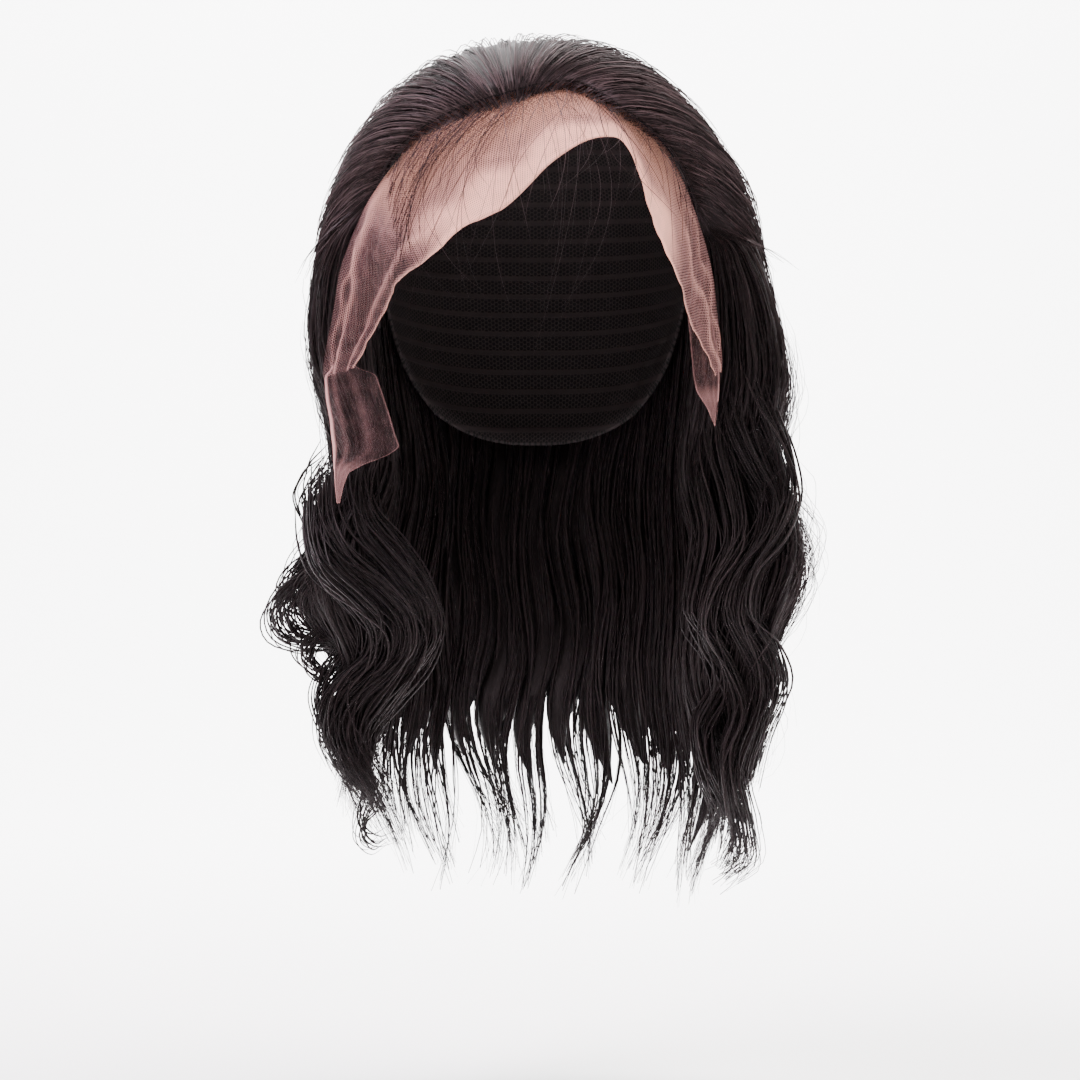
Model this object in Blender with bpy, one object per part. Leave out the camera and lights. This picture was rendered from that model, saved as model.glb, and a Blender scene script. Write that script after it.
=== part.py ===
"""A lace front wig with long body wave hair, at the form it has when worn.

The origin is the inside of the cap's crown, where the wearer's head meets it. +X is the viewer's right,
the face looks towards -Y, and +Z is up. Turns round the head are in degrees: a "front turn" is counted
from straight ahead and a "back turn" from straight behind, both positive towards +X.
"""

import bisect
import math

import bmesh
import bpy
from mathutils import Vector

MM = 0.001

# The head that the cap is shaped on
HEAD_HALF_WIDTH = 80 * MM
HEAD_HALF_LENGTH = 101 * MM
HEAD_ABOVE = 92 * MM  # from its widest level up to the crown
HEAD_BELOW = 130 * MM  # from that level down to where the form would close
FORM_POWER = 2.3  # 2 is an ellipse, more is squarer

# Walls and clearances
CAP_WALL = 1.6 * MM
LACE_WALL = 1.0 * MM
PIECE_GAP = 0.4 * MM
FACET_ALLOWANCE = 2.1 * MM  # how far a flat facet dips inside the round that it spans

# Lace
LACE_TUCK = 10 * MM  # how far it runs on under the front hair
TEMPLE_LIFT = 35 * MM  # how far its loosest corner stands off the head
LACE_RIPPLE = 1.2 * MM
LACE_RIPPLES_ACROSS = 2.5
LACE_ROWS_PER_STATION = 2
LACE_STRIPS = 5

# Ear tabs
LEFT_TAB_LENGTH = 62 * MM
LEFT_TAB_WIDTH = 38 * MM
LEFT_TAB_LEAN = 0.45  # how far it comes forward for each width that it reaches in towards the middle
RIGHT_TAB_LENGTH = 57 * MM
RIGHT_TAB_WIDTH = 17 * MM
RIGHT_TAB_LEAN = 0.5
LEFT_TAB_STATION = 0  # the lace's station that the tab hangs behind
RIGHT_TAB_STATION = 22
RIGHT_TAB_TOP_STATION = 21  # the station that the right tab reaches up to

# Hair
HAIR_HALF_WIDTH = 118 * MM
HAIR_BACK = 128 * MM
HAIR_DROP = 330 * MM  # from the head's widest level down to the longest tip
TOP_DEPTH = 12 * MM  # depth of hair over the crown
ROOT_DEPTH = 1.6 * MM
ROOT_RISE = 20 * MM  # how soon the hair gains its depth behind the hairline
SIDE_GATHER = 6  # a higher power keeps the side's depth of hair nearer its widest level
LOCKS_PER_SECTION = 3
SECTIONS = 7
CROWN_PARTS = 3
LOCK_COLUMNS = 3
LOCK_GROOVE = 0.16  # the share of the hair's depth that the groove between two locks takes
CROWN_GROOVE = 0.2
CROWN_STATIONS = 13
CURTAIN_STATIONS = 20
TIP_STATIONS = 7
SPLIT_DROP = 0.68  # the share of the drop at which the locks part
TIP_WIDTH = 0.2  # the share of a lock's width that is left at its tip
TIP_POWER = 0.6

# Body wave
WAVE_LENGTH = 106 * MM
WAVE_SWING = 12 * MM
WAVE_LIFT = 3.5 * MM
WAVE_LIFTS_ROUND = 5  # how much faster the outward wave turns round the head than the sideways one
WAVE_START = 0.05  # the share of the drop where the wave sets in
WAVE_FULL = 0.45  # the share of the drop where it is full
WAVE_PHASE = 1.1
WAVE_TURN = 3.2  # how much later the wave comes from one side of the head to the other

HEAD_CENTRE = Vector((0, 0, -HEAD_ABOVE))
HAIR_CLEARANCE = CAP_WALL + PIECE_GAP + FACET_ALLOWANCE
LOCKS = LOCKS_PER_SECTION * SECTIONS

# The lace from the left temple to the right. A drop is a share of HEAD_ABOVE below the origin, a lift is a
# share of TEMPLE_LIFT off the head, and the tuck is a share of LACE_TUCK.
LACE_COLUMNS = ("hair_turn", "hair_drop", "hair_lift", "tuck", "cut_turn", "cut_drop", "cut_lift")
LACE_STATIONS = (
    (-72.0, 1.710, 1.00, 0.0, -61.3, 1.665, 0.60),
    (-71.5, 1.505, 0.80, 0.0, -60.7, 1.540, 0.35),
    (-70.1, 1.320, 0.68, 0.0, -59.0, 1.415, 0.08),
    (-68.5, 1.160, 0.57, 0.0, -52.2, 1.310, 0.00),
    (-67.0, 1.000, 0.44, 0.0, -46.0, 1.225, 0.00),
    (-65.0, 0.860, 0.31, 0.0, -35.0, 1.155, 0.00),
    (-61.5, 0.720, 0.16, 0.0, -27.0, 1.075, 0.00),
    (-53.0, 0.590, 0.00, 0.5, -20.0, 0.975, 0.00),
    (-43.0, 0.490, 0.00, 1.0, -13.3, 0.925, 0.00),
    (-33.0, 0.400, 0.00, 1.0, -7.6, 0.870, 0.00),
    (-21.5, 0.340, 0.00, 1.0, -1.8, 0.765, 0.00),
    (-10.0, 0.290, 0.00, 1.0, 4.0, 0.650, 0.00),
    (3.0, 0.225, 0.00, 1.0, 12.5, 0.540, 0.00),
    (15.5, 0.215, 0.00, 1.0, 20.5, 0.490, 0.00),
    (25.5, 0.285, 0.00, 1.0, 27.5, 0.505, 0.00),
    (35.0, 0.410, 0.00, 1.0, 31.0, 0.650, 0.00),
    (45.0, 0.520, 0.00, 1.0, 33.5, 0.830, 0.00),
    (54.0, 0.630, 0.00, 1.0, 37.5, 0.980, 0.00),
    (61.0, 0.765, 0.05, 0.3, 44.0, 1.115, 0.00),
    (65.0, 0.950, 0.18, 0.0, 52.0, 1.250, 0.02),
    (66.9, 1.145, 0.30, 0.0, 57.6, 1.395, 0.08),
    (68.1, 1.345, 0.41, 0.0, 61.1, 1.520, 0.25),
    (69.0, 1.530, 0.52, 0.0, 64.9, 1.627, 0.44),
    (69.0, 1.660, 0.60, 0.0, 67.3, 1.700, 0.56),
)
SEAM_FIRST = 8  # the lace meets the cap from this station
SEAM_LAST = 17  # to this one

# The cap's edge behind the lace. Columns: front turn to either side, drop as a share of HEAD_ABOVE.
CAP_EDGE = (
    (62, 0.62),
    (68, 0.80),
    (73, 1.05),
    (77, 1.34),
    (83, 1.42),
    (89, 1.27),
    (96, 1.11),
    (106, 1.09),
    (115, 1.27),
    (125, 1.58),
    (140, 1.85),
    (158, 1.98),
)
NAPE_DROP = 2.02
CAP_ROWS = 8

# Where the hair's roots lie along the hairline. The share runs over the whole head of hair, 0 at the left
# front lock's edge and 1 at the right one's.
ROOT_COLUMNS = ("share", "turn", "drop")
ROOTS = (
    (0.00, -68.0, 0.78),
    (0.06, -60.0, 0.635),
    (0.14, -49.0, 0.530),
    (0.23, -38.0, 0.445),
    (0.33, -27.0, 0.375),
    (0.43, -16.0, 0.315),
    (0.51, -7.0, 0.275),
    (0.60, 0.0, 0.240),
    (0.70, 9.0, 0.220),
    (0.79, 19.0, 0.235),
    (0.87, 32.0, 0.375),
    (0.94, 51.0, 0.565),
    (1.00, 70.0, 0.88),
)

# Sections across the hanging hair. The drop is a share of HAIR_DROP below the widest level; left and right
# are shares of HAIR_HALF_WIDTH, back of HAIR_BACK, inner side and inner back of the head's half width and
# half length; the edges are back turns in degrees where the hair ends beside the open front.
CURTAIN_COLUMNS = (
    "drop", "left", "right", "back", "inner_side", "inner_back", "left_edge", "right_edge"
)
CURTAIN = (
    (0.000, 0.920, 0.950, 1.00, 1.00, 1.00, 109, 110),
    (0.085, 0.955, 1.005, 1.01, 0.99, 0.99, 107, 108),
    (0.176, 0.945, 1.065, 1.01, 0.95, 0.96, 104, 106),
    (0.267, 0.912, 1.115, 0.98, 0.93, 0.92, 103, 104),
    (0.364, 0.955, 1.110, 0.94, 0.92, 0.85, 103, 104),
    (0.458, 0.985, 1.145, 0.91, 0.92, 0.81, 105, 105),
    (0.548, 1.075, 1.125, 0.92, 0.93, 0.82, 106, 105),
    (0.630, 0.945, 1.080, 0.94, 0.94, 0.86, 104, 104),
    (0.721, 0.915, 1.015, 0.96, 0.93, 0.90, 103, 103),
    (0.812, 0.845, 0.960, 0.95, 0.89, 0.92, 102, 102),
    (0.888, 0.780, 0.915, 0.93, 0.85, 0.92, 101, 101),
    (1.000, 0.720, 0.870, 0.91, 0.80, 0.92, 100, 100),
)

# How far each lock reaches, from the left front to the right front, as a share of HAIR_DROP
LOCK_REACH = (
    0.830, 0.885, 0.850, 0.900, 0.940, 0.915, 0.950, 0.975, 0.955, 0.985, 0.995,
    0.970, 1.000, 0.965, 0.985, 0.945, 0.980, 0.955, 0.985, 0.930, 0.835,
)
SECTION_NAMES = (
    "hair_left_front", "hair_left_side", "hair_left_back", "hair_back",
    "hair_right_back", "hair_right_side", "hair_right_front",
)
CROWN_NAMES = ("crown_left", "crown_top", "crown_right")

# The ear tabs. Columns: drop as a share of the tab's length, outer and inner side as shares of its width.
LEFT_TAB = (
    (0.00, 0.00, 0.70),
    (0.18, 0.02, 0.80),
    (0.33, 0.07, 0.88),
    (0.46, 0.09, 0.94),
    (0.56, 0.11, 1.00),
    (0.625, 0.115, 0.84),
    (0.70, 0.12, 0.50),
    (0.76, 0.13, 0.32),
    (0.87, 0.14, 0.25),
    (1.00, 0.165, 0.205),
)
RIGHT_TAB = (
    (0.00, 0.30, 0.97),
    (0.23, 0.14, 0.88),
    (0.44, 0.02, 0.82),
    (0.58, 0.00, 0.78),
    (0.71, 0.01, 0.68),
    (0.86, 0.05, 0.35),
    (1.00, 0.10, 0.15),
)
TAB_STRIPS = 5


def clear_scene():
    for obj in list(bpy.data.objects):
        bpy.data.objects.remove(obj, do_unlink=True)


def smooth(keys, values, at):
    """The value at this key on a smooth curve through the pairs."""
    last = len(keys) - 1

    def slope(i):
        before = max(i - 1, 0)
        after = min(i + 1, last)
        return (values[after] - values[before]) / (keys[after] - keys[before])

    i = min(max(bisect.bisect_right(keys, at) - 1, 0), last - 1)
    span = keys[i + 1] - keys[i]
    t = min(max((at - keys[i]) / span, 0), 1)
    rise = t * t * (3 - 2 * t)
    start = t * (1 - t) ** 2 * span * slope(i)
    end = t * t * (t - 1) * span * slope(i + 1)
    return values[i] + (values[i + 1] - values[i]) * rise + start + end


def column(rows, names, name):
    return [row[names.index(name)] for row in rows]


def table_value(rows, names, name, at):
    """Reads one column at a value of the table's first column."""
    return smooth(column(rows, names, names[0]), column(rows, names, name), at)


def round_reach(turn, half_width, half_length):
    """How far a level slice of this size reaches at this turn."""
    across = abs(math.sin(turn) / half_width) ** FORM_POWER
    along = abs(math.cos(turn) / half_length) ** FORM_POWER
    return (across + along) ** (-1 / FORM_POWER)


def form_reach(direction, clearance):
    """How far the head's form, grown by the clearance, reaches from the head's centre."""
    height = HEAD_ABOVE if direction.z > 0 else HEAD_BELOW
    halves = (HEAD_HALF_WIDTH, HEAD_HALF_LENGTH, height)
    total = sum(
        abs(part / (half + clearance)) ** FORM_POWER for part, half in zip(direction, halves)
    )
    return total ** (-1 / FORM_POWER)


def front_direction(turn):
    return Vector((math.sin(turn), -math.cos(turn), 0))


def back_direction(turn):
    return Vector((math.sin(turn), math.cos(turn), 0))


def on_head(turn, drop, clearance, lift=0.0):
    """The point at this front turn and drop below the origin, off the head's form."""
    rise = HEAD_ABOVE - drop
    height = (HEAD_ABOVE if rise > 0 else HEAD_BELOW) + clearance
    share = (1 - min(abs(rise / height), 1) ** FORM_POWER) ** (1 / FORM_POWER)
    reach = round_reach(turn, HEAD_HALF_WIDTH + clearance, HEAD_HALF_LENGTH + clearance)
    point = front_direction(turn) * (share * reach + lift)
    point.z = -drop
    return point


def polar_angle(turn, drop):
    """The angle from straight up, at the head's centre, of a point on its form."""
    return (on_head(turn, drop, 0) - HEAD_CENTRE).angle(Vector((0, 0, 1)))


def on_dome(turn, polar, clearance):
    direction = front_direction(turn) * math.sin(polar)
    direction.z = math.cos(polar)
    return HEAD_CENTRE + direction * form_reach(direction, clearance)


def lace_value(name, station):
    values = column(LACE_STATIONS, LACE_COLUMNS, name)
    return smooth(list(range(len(values))), values, station)


def tucked_polar(station, tuck):
    """The angle from straight up of the lace's or the cap's edge under the front hair."""
    turn = math.radians(lace_value("hair_turn", station))
    polar = polar_angle(turn, lace_value("hair_drop", station) * HEAD_ABOVE)
    return polar - tuck / HEAD_ABOVE


def new_material(name, colour, roughness):
    material = bpy.data.materials.new(name)
    material.use_nodes = True
    shader = material.node_tree.nodes["Principled BSDF"]
    shader.inputs["Base Color"].default_value = (*colour, 1)
    shader.inputs["Roughness"].default_value = roughness
    return material


def finish(name, mesh_data, material, smooth_angle=50):
    """Makes one named object of a bmesh."""
    bmesh.ops.recalc_face_normals(mesh_data, faces=mesh_data.faces)
    mesh = bpy.data.meshes.new(name)
    mesh_data.to_mesh(mesh)
    mesh_data.free()
    mesh.materials.append(material)
    mesh.shade_smooth()
    mesh.set_sharp_from_angle(angle=math.radians(smooth_angle))
    obj = bpy.data.objects.new(name, mesh)
    bpy.context.scene.collection.objects.link(obj)
    return obj


def quads_between(mesh_data, first, second):
    for i in range(len(first) - 1):
        mesh_data.faces.new((first[i], first[i + 1], second[i + 1], second[i]))


def slab(near, far):
    """A closed wall between two grids of points, each a list of rows."""
    mesh_data = bmesh.new()
    near = [[mesh_data.verts.new(point) for point in row] for row in near]
    far = [[mesh_data.verts.new(point) for point in row] for row in far]
    for side in (near, far):
        for first, second in zip(side, side[1:]):
            quads_between(mesh_data, first, second)
    rims = (
        (near[0], far[0]),
        (near[-1], far[-1]),
        ([row[0] for row in near], [row[0] for row in far]),
        ([row[-1] for row in near], [row[-1] for row in far]),
    )
    for first, second in rims:
        quads_between(mesh_data, first, second)
    return mesh_data


def cap_columns():
    """The front turn and edge angle of each column of the cap, once round from the seam's left end."""
    columns = []
    for row in range((SEAM_LAST - SEAM_FIRST) * LACE_ROWS_PER_STATION + 1):
        station = SEAM_FIRST + row / LACE_ROWS_PER_STATION
        turn = math.radians(lace_value("hair_turn", station))
        columns.append((turn, tucked_polar(station, LACE_TUCK)))
    right = [
        (math.radians(turn), polar_angle(math.radians(turn), drop * HEAD_ABOVE))
        for turn, drop in CAP_EDGE
    ]
    nape = (math.pi, polar_angle(math.pi, NAPE_DROP * HEAD_ABOVE))
    left = [(2 * math.pi - turn, polar) for turn, polar in reversed(right)]
    return columns + right + [nape] + left


def make_cap(material):
    """The stretch net dome, open below and in front, with its wall turned in at the edge."""
    mesh_data = bmesh.new()
    columns = cap_columns()
    faces = []
    for clearance in (0, CAP_WALL):
        apex = mesh_data.verts.new(on_dome(0, 0, clearance))
        grid = []
        for turn, edge in columns:
            polars = [edge * (row + 1) / CAP_ROWS for row in range(CAP_ROWS)]
            grid.append([mesh_data.verts.new(on_dome(turn, polar, clearance)) for polar in polars])
        for first, second in zip(grid, grid[1:] + grid[:1]):
            mesh_data.faces.new((apex, first[0], second[0]))
            quads_between(mesh_data, first, second)
        faces.append(grid)
    edges = [[strip[-1] for strip in grid] for grid in faces]
    closed = [edge + edge[:1] for edge in edges]
    quads_between(mesh_data, closed[0], closed[1])
    return finish("cap", mesh_data, material)


def lace_point(station, across, face):
    """A point of the lace from its tucked (0) to its cut edge (1), on its inner (0) or outer face (1)."""
    tuck = min(lace_value("tuck", station), 1) * LACE_TUCK
    turn = math.radians(lace_value("hair_turn", station))
    drop = lace_value("hair_drop", station) * HEAD_ABOVE
    lift = max(lace_value("hair_lift", station), 0) * TEMPLE_LIFT
    looseness = lift / TEMPLE_LIFT
    if tuck > PIECE_GAP:
        drop = -on_dome(turn, tucked_polar(station, tuck - PIECE_GAP), 0).z
    cut_lift = max(lace_value("cut_lift", station), 0) * TEMPLE_LIFT
    turn += (math.radians(lace_value("cut_turn", station)) - turn) * across
    drop += (lace_value("cut_drop", station) * HEAD_ABOVE - drop) * across
    lift += (cut_lift - lift) * across
    ripple = LACE_RIPPLE * looseness * math.sin(math.tau * LACE_RIPPLES_ACROSS * across)
    return on_head(turn, drop, face * LACE_WALL, max(lift + ripple, 0))


def make_lace(material):
    rows = (len(LACE_STATIONS) - 1) * LACE_ROWS_PER_STATION + 1
    faces = [
        [
            [
                lace_point(row / LACE_ROWS_PER_STATION, strip / LACE_STRIPS, face)
                for strip in range(LACE_STRIPS + 1)
            ]
            for row in range(rows)
        ]
        for face in (0, 1)
    ]
    return finish("lace_front", slab(*faces), material)


def tab_corner(station, top_station):
    """The corner that a tab hangs from: close behind the lace's outer edge."""
    corner = lace_point(station, 0, 0) + Vector((0, PIECE_GAP, 0))
    corner.z = lace_point(top_station, 0, 0).z
    return corner


def make_tab(name, rows, length, width, top, side, lean, material):
    """A flap of lace that hangs from its outer top corner, on the left (side -1) or the right (1)."""
    grids = []
    for depth in (0, LACE_WALL):
        grid = []
        for drop, outer, inner in rows:
            line = []
            for step in range(TAB_STRIPS + 1):
                across = outer + (inner - outer) * step / TAB_STRIPS
                point = top + Vector((-side * across * width, -lean * across * width, -drop * length))
                line.append(point + Vector((0, depth, 0)))
            grid.append(line)
        grids.append(grid)
    return finish(name, slab(*grids), material)


def curtain_value(name, drop):
    return table_value(CURTAIN, CURTAIN_COLUMNS, name, drop)


def wave_strength(drop):
    t = min(max((drop - WAVE_START) / (WAVE_FULL - WAVE_START), 0), 1)
    return t * t * (3 - 2 * t)


def wave_phase(share, drop):
    return math.tau * drop * HAIR_DROP / WAVE_LENGTH + WAVE_PHASE + WAVE_TURN * share


def back_turn(share, drop):
    """The back turn of a strand that hangs at this share of the hair, at this drop."""
    left = -math.radians(curtain_value("left_edge", drop))
    right = math.radians(curtain_value("right_edge", drop))
    swing = WAVE_SWING / HAIR_HALF_WIDTH * wave_strength(drop) * math.sin(wave_phase(share, drop))
    return left + (right - left) * share + swing


def curtain_reach(turn, drop, depth):
    """How far out the hair is, from its inner side (depth 0) to its outer side (1)."""
    inner_side = curtain_value("inner_side", drop) * HEAD_HALF_WIDTH + HAIR_CLEARANCE
    inner_back = curtain_value("inner_back", drop) * HEAD_HALF_LENGTH + HAIR_CLEARANCE
    side = curtain_value("left" if turn < 0 else "right", drop) * HAIR_HALF_WIDTH
    back = curtain_value("back", drop) * HAIR_BACK
    inner = round_reach(turn, inner_side, inner_back)
    outer = round_reach(turn, side, back)
    return inner + (outer - inner) * depth


def curtain_point(share, drop, depth):
    """A point of the hanging hair, below the head's widest level."""
    turn = back_turn(share, drop)
    lift = WAVE_LIFT * wave_strength(drop) * math.cos(wave_phase(share * WAVE_LIFTS_ROUND, drop)) * depth
    point = HEAD_CENTRE + back_direction(turn) * (curtain_reach(turn, drop, depth) + lift)
    point.z -= drop * HAIR_DROP
    return point


def crown_point(share, along, depth):
    """A point of the hair over the head, from the hairline (along 0) to the widest level (1)."""
    root_turn = math.radians(table_value(ROOTS, ROOT_COLUMNS, "turn", share))
    root_drop = table_value(ROOTS, ROOT_COLUMNS, "drop", share) * HEAD_ABOVE
    root = (on_head(root_turn, root_drop, 0) - HEAD_CENTRE).normalized()
    level = back_direction(back_turn(share, 0))
    direction = root.slerp(level, along)
    turn = math.atan2(direction.x, direction.y)
    side_depth = curtain_reach(turn, 0, 1) - curtain_reach(turn, 0, 0)
    flatness = math.hypot(direction.x, direction.y) ** SIDE_GATHER
    full = TOP_DEPTH + (side_depth - TOP_DEPTH) * flatness
    travelled = root.angle(level) * along * HEAD_ABOVE
    ramp = 1 - math.exp(-travelled / ROOT_RISE)
    ramp += (1 - ramp) * along ** 3  # full at the widest level, however short the way
    thickness = ROOT_DEPTH + (full - ROOT_DEPTH) * ramp
    return HEAD_CENTRE + direction * (form_reach(direction, HAIR_CLEARANCE) + thickness * depth)


def lobe(t, groove):
    """The depth across one lock, full at its middle and grooved where it meets the next."""
    return 1 - groove * (1 - math.sin(math.pi * t))


def inset_share(place, share, station, depth, inward):
    """Moves a share inward by half the gap between two sections, as measured at this place."""
    step = 0.002
    run = (place(share + step, station, depth) - place(share - step, station, depth)).length
    return share + inward * PIECE_GAP / 2 * 2 * step / run


def ring_of(place, station, first, count, groove):
    """The outer and inner points of one station across these locks."""
    outer = []
    inner = []
    for step in range(count * LOCK_COLUMNS + 1):
        share = (first + step / LOCK_COLUMNS) / LOCKS
        depth = lobe((step % LOCK_COLUMNS) / LOCK_COLUMNS, groove)
        inward = (step == 0) - (step == count * LOCK_COLUMNS)
        if inward:
            share = inset_share(place, share, station, depth, inward)
        outer.append(place(share, station, depth))
    for lock in range(count + 1):
        share = (first + lock) / LOCKS
        inward = (lock == 0) - (lock == count)
        if inward:
            share = inset_share(place, share, station, 0, inward)
        inner.append(place(share, station, 0))
    return outer, inner


def close_ring(mesh_data, outer, inner):
    """Closes a section's end with one face for each lock."""
    for lock in range(len(inner) - 1):
        arc = outer[lock * LOCK_COLUMNS : (lock + 1) * LOCK_COLUMNS + 1]
        mesh_data.faces.new(arc + [inner[lock + 1], inner[lock]])


def join_rings(mesh_data, above, below):
    quads_between(mesh_data, above[0], below[0])
    quads_between(mesh_data, above[1], below[1])
    for end in (0, -1):
        mesh_data.faces.new((above[0][end], above[1][end], below[1][end], below[0][end]))


def add_ring(mesh_data, points):
    return [[mesh_data.verts.new(point) for point in side] for side in points]


def shrunk(points, size):
    """The same ring drawn in about its middle."""
    everything = points[0] + points[1]
    middle = sum(everything, Vector()) / len(everything)
    return [[middle + (point - middle) * size for point in side] for side in points]


def add_tip(mesh_data, lock, outer, inner):
    """One lock's free end, from the open ring that it shares with its neighbours."""
    above = (outer, inner)
    for step in range(1, TIP_STATIONS + 1):
        q = step / TIP_STATIONS
        drop = SPLIT_DROP + (LOCK_REACH[lock] - SPLIT_DROP) * q
        size = TIP_WIDTH + (1 - TIP_WIDTH) * (1 - q) ** TIP_POWER
        points = ring_of(curtain_point, drop, lock, 1, LOCK_GROOVE)
        below = add_ring(mesh_data, shrunk(points, size))
        join_rings(mesh_data, above, below)
        above = below
    close_ring(mesh_data, *above)


def make_hanging_section(index, material):
    """Three locks of the hanging hair, fused to one backing down to where they part."""
    mesh_data = bmesh.new()
    first = index * LOCKS_PER_SECTION
    top = PIECE_GAP / HAIR_DROP
    above = None
    for step in range(CURTAIN_STATIONS):
        drop = top + (SPLIT_DROP - top) * step / (CURTAIN_STATIONS - 1)
        points = ring_of(curtain_point, drop, first, LOCKS_PER_SECTION, LOCK_GROOVE)
        below = add_ring(mesh_data, points)
        if above:
            join_rings(mesh_data, above, below)
        else:
            close_ring(mesh_data, *below)
        above = below
    outer, inner = above
    for lock in range(LOCKS_PER_SECTION):
        arc = outer[lock * LOCK_COLUMNS : (lock + 1) * LOCK_COLUMNS + 1]
        add_tip(mesh_data, first + lock, arc, inner[lock : lock + 2])
    return finish(SECTION_NAMES[index], mesh_data, material)


def make_crown_part(index, material):
    """The locks of one part of the hair over the cap, fused to their backing."""
    mesh_data = bmesh.new()
    count = LOCKS // CROWN_PARTS
    above = None
    for step in range(CROWN_STATIONS):
        along = step / (CROWN_STATIONS - 1)
        points = ring_of(crown_point, along, index * count, count, CROWN_GROOVE)
        below = add_ring(mesh_data, points)
        if above:
            join_rings(mesh_data, above, below)
        else:
            close_ring(mesh_data, *below)
        above = below
    close_ring(mesh_data, *above)
    return finish(CROWN_NAMES[index], mesh_data, material)


def make_wig():
    hair = new_material("dark_brown_hair", (0.012, 0.009, 0.009), 0.42)
    lace = new_material("pale_lace", (0.62, 0.40, 0.36), 0.85)
    net = new_material("black_stretch_net", (0.015, 0.013, 0.013), 0.9)
    make_cap(net)
    make_lace(lace)
    make_tab(
        "ear_tab_left", LEFT_TAB, LEFT_TAB_LENGTH, LEFT_TAB_WIDTH,
        tab_corner(LEFT_TAB_STATION, LEFT_TAB_STATION), -1, LEFT_TAB_LEAN, lace,
    )
    make_tab(
        "ear_tab_right", RIGHT_TAB, RIGHT_TAB_LENGTH, RIGHT_TAB_WIDTH,
        tab_corner(RIGHT_TAB_STATION, RIGHT_TAB_TOP_STATION), 1, RIGHT_TAB_LEAN, lace,
    )
    for index in range(CROWN_PARTS):
        make_crown_part(index, hair)
    for index in range(SECTIONS):
        make_hanging_section(index, hair)


clear_scene()
make_wig()
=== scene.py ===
# %% [markdown]
# # A lace front wig
# This notebook dresses the CAD model of a wig: a cap of stretch net, a sheet of sheer lace at the
# front, two small ear tabs, and long body wave hair. The CAD solids give every place and size. Hair is
# the hard part, because it is tens of thousands of fibres, so it is built in layers, from broad to
# fine.

import math

import bpy
import numpy as np
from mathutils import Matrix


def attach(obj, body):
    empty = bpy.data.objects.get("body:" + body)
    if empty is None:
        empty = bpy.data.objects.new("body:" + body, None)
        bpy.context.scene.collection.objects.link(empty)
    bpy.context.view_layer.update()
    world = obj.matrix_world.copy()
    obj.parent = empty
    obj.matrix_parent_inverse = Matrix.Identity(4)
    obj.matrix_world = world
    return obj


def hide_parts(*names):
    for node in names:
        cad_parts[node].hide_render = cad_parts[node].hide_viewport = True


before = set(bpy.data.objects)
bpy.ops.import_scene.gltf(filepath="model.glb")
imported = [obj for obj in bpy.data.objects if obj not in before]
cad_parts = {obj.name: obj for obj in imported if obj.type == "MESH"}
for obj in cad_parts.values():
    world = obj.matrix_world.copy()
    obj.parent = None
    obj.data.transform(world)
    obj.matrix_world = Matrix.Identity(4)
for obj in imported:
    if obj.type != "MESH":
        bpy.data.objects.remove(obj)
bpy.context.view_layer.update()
MM = 0.001
SEED = 16
rng = np.random.default_rng(SEED)


def deselect_all():
    if bpy.context.mode != "OBJECT":
        bpy.ops.object.mode_set(mode="OBJECT")
    bpy.ops.object.select_all(action="DESELECT")


deselect_all()
print("nodes:", ", ".join(sorted(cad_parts)))

# %% [markdown]
# ## Where the hair grows and how it falls
# Every strand starts on the hairline, sweeps back over the cap and then hangs. If each strand were
# placed by hand, neighbours would cross, so all of them share one map. A *share* says how far along the
# hairline a strand's root is, from 0 at its left end to 1 at its right. A *depth* says how deep it lies
# in the hair, from 0 at the cap to 1 at the outside. The tables are the ones that the solids were made
# from.

# %% The sizes that the solids share
HEAD_HALF_WIDTH = 80 * MM
HEAD_HALF_LENGTH = 101 * MM
HEAD_ABOVE = 92 * MM  # from the cap's widest level up to the crown
HEAD_BELOW = 130 * MM  # from that level down to where its form would close
FORM_POWER = 2.3  # 2 is an ellipse, more is squarer
HEAD_CENTRE = np.array([0.0, 0.0, -HEAD_ABOVE])
HAIR_CLEARANCE = 4.1 * MM  # from the cap's inside to the innermost hair
HAIR_HALF_WIDTH = 118 * MM
HAIR_BACK = 128 * MM
HAIR_DROP = 330 * MM  # from the widest level down to the longest tip
TOP_DEPTH = 12 * MM  # depth of hair over the crown
ROOT_DEPTH = 1.6 * MM
ROOT_RISE = 20 * MM  # how soon the hair gains its depth behind the hairline
SIDE_GATHER = 6  # a higher power keeps the side's depth of hair nearer the widest level
LOCKS = 21
SPLIT_DROP = 0.68  # where the locks part, as a share of HAIR_DROP
WAVE_LENGTH = 106 * MM
WAVE_SWING = 12 * MM
WAVE_START = 0.05  # the drop where the wave begins, and below it the drop where it is full
WAVE_FULL = 0.45
WAVE_PHASE = 1.1
WAVE_TURN = 3.2  # how much later the wave comes from one side of the hair to the other
print(f"{LOCKS} locks, the longest {HAIR_DROP / MM:.0f} mm below the widest level")

# %% The tables that the solids share
# Along the hairline: turns are in degrees from the front, drops are shares of HEAD_ABOVE below the crown.
ROOT_COLUMNS = ("share", "turn", "drop")
ROOTS = (
    (0.00, -68.0, 0.78),
    (0.06, -60.0, 0.635),
    (0.14, -49.0, 0.530),
    (0.23, -38.0, 0.445),
    (0.33, -27.0, 0.375),
    (0.43, -16.0, 0.315),
    (0.51, -7.0, 0.275),
    (0.60, 0.0, 0.240),
    (0.70, 9.0, 0.220),
    (0.79, 19.0, 0.235),
    (0.87, 32.0, 0.375),
    (0.94, 51.0, 0.565),
    (1.00, 70.0, 0.88),
)
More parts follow.
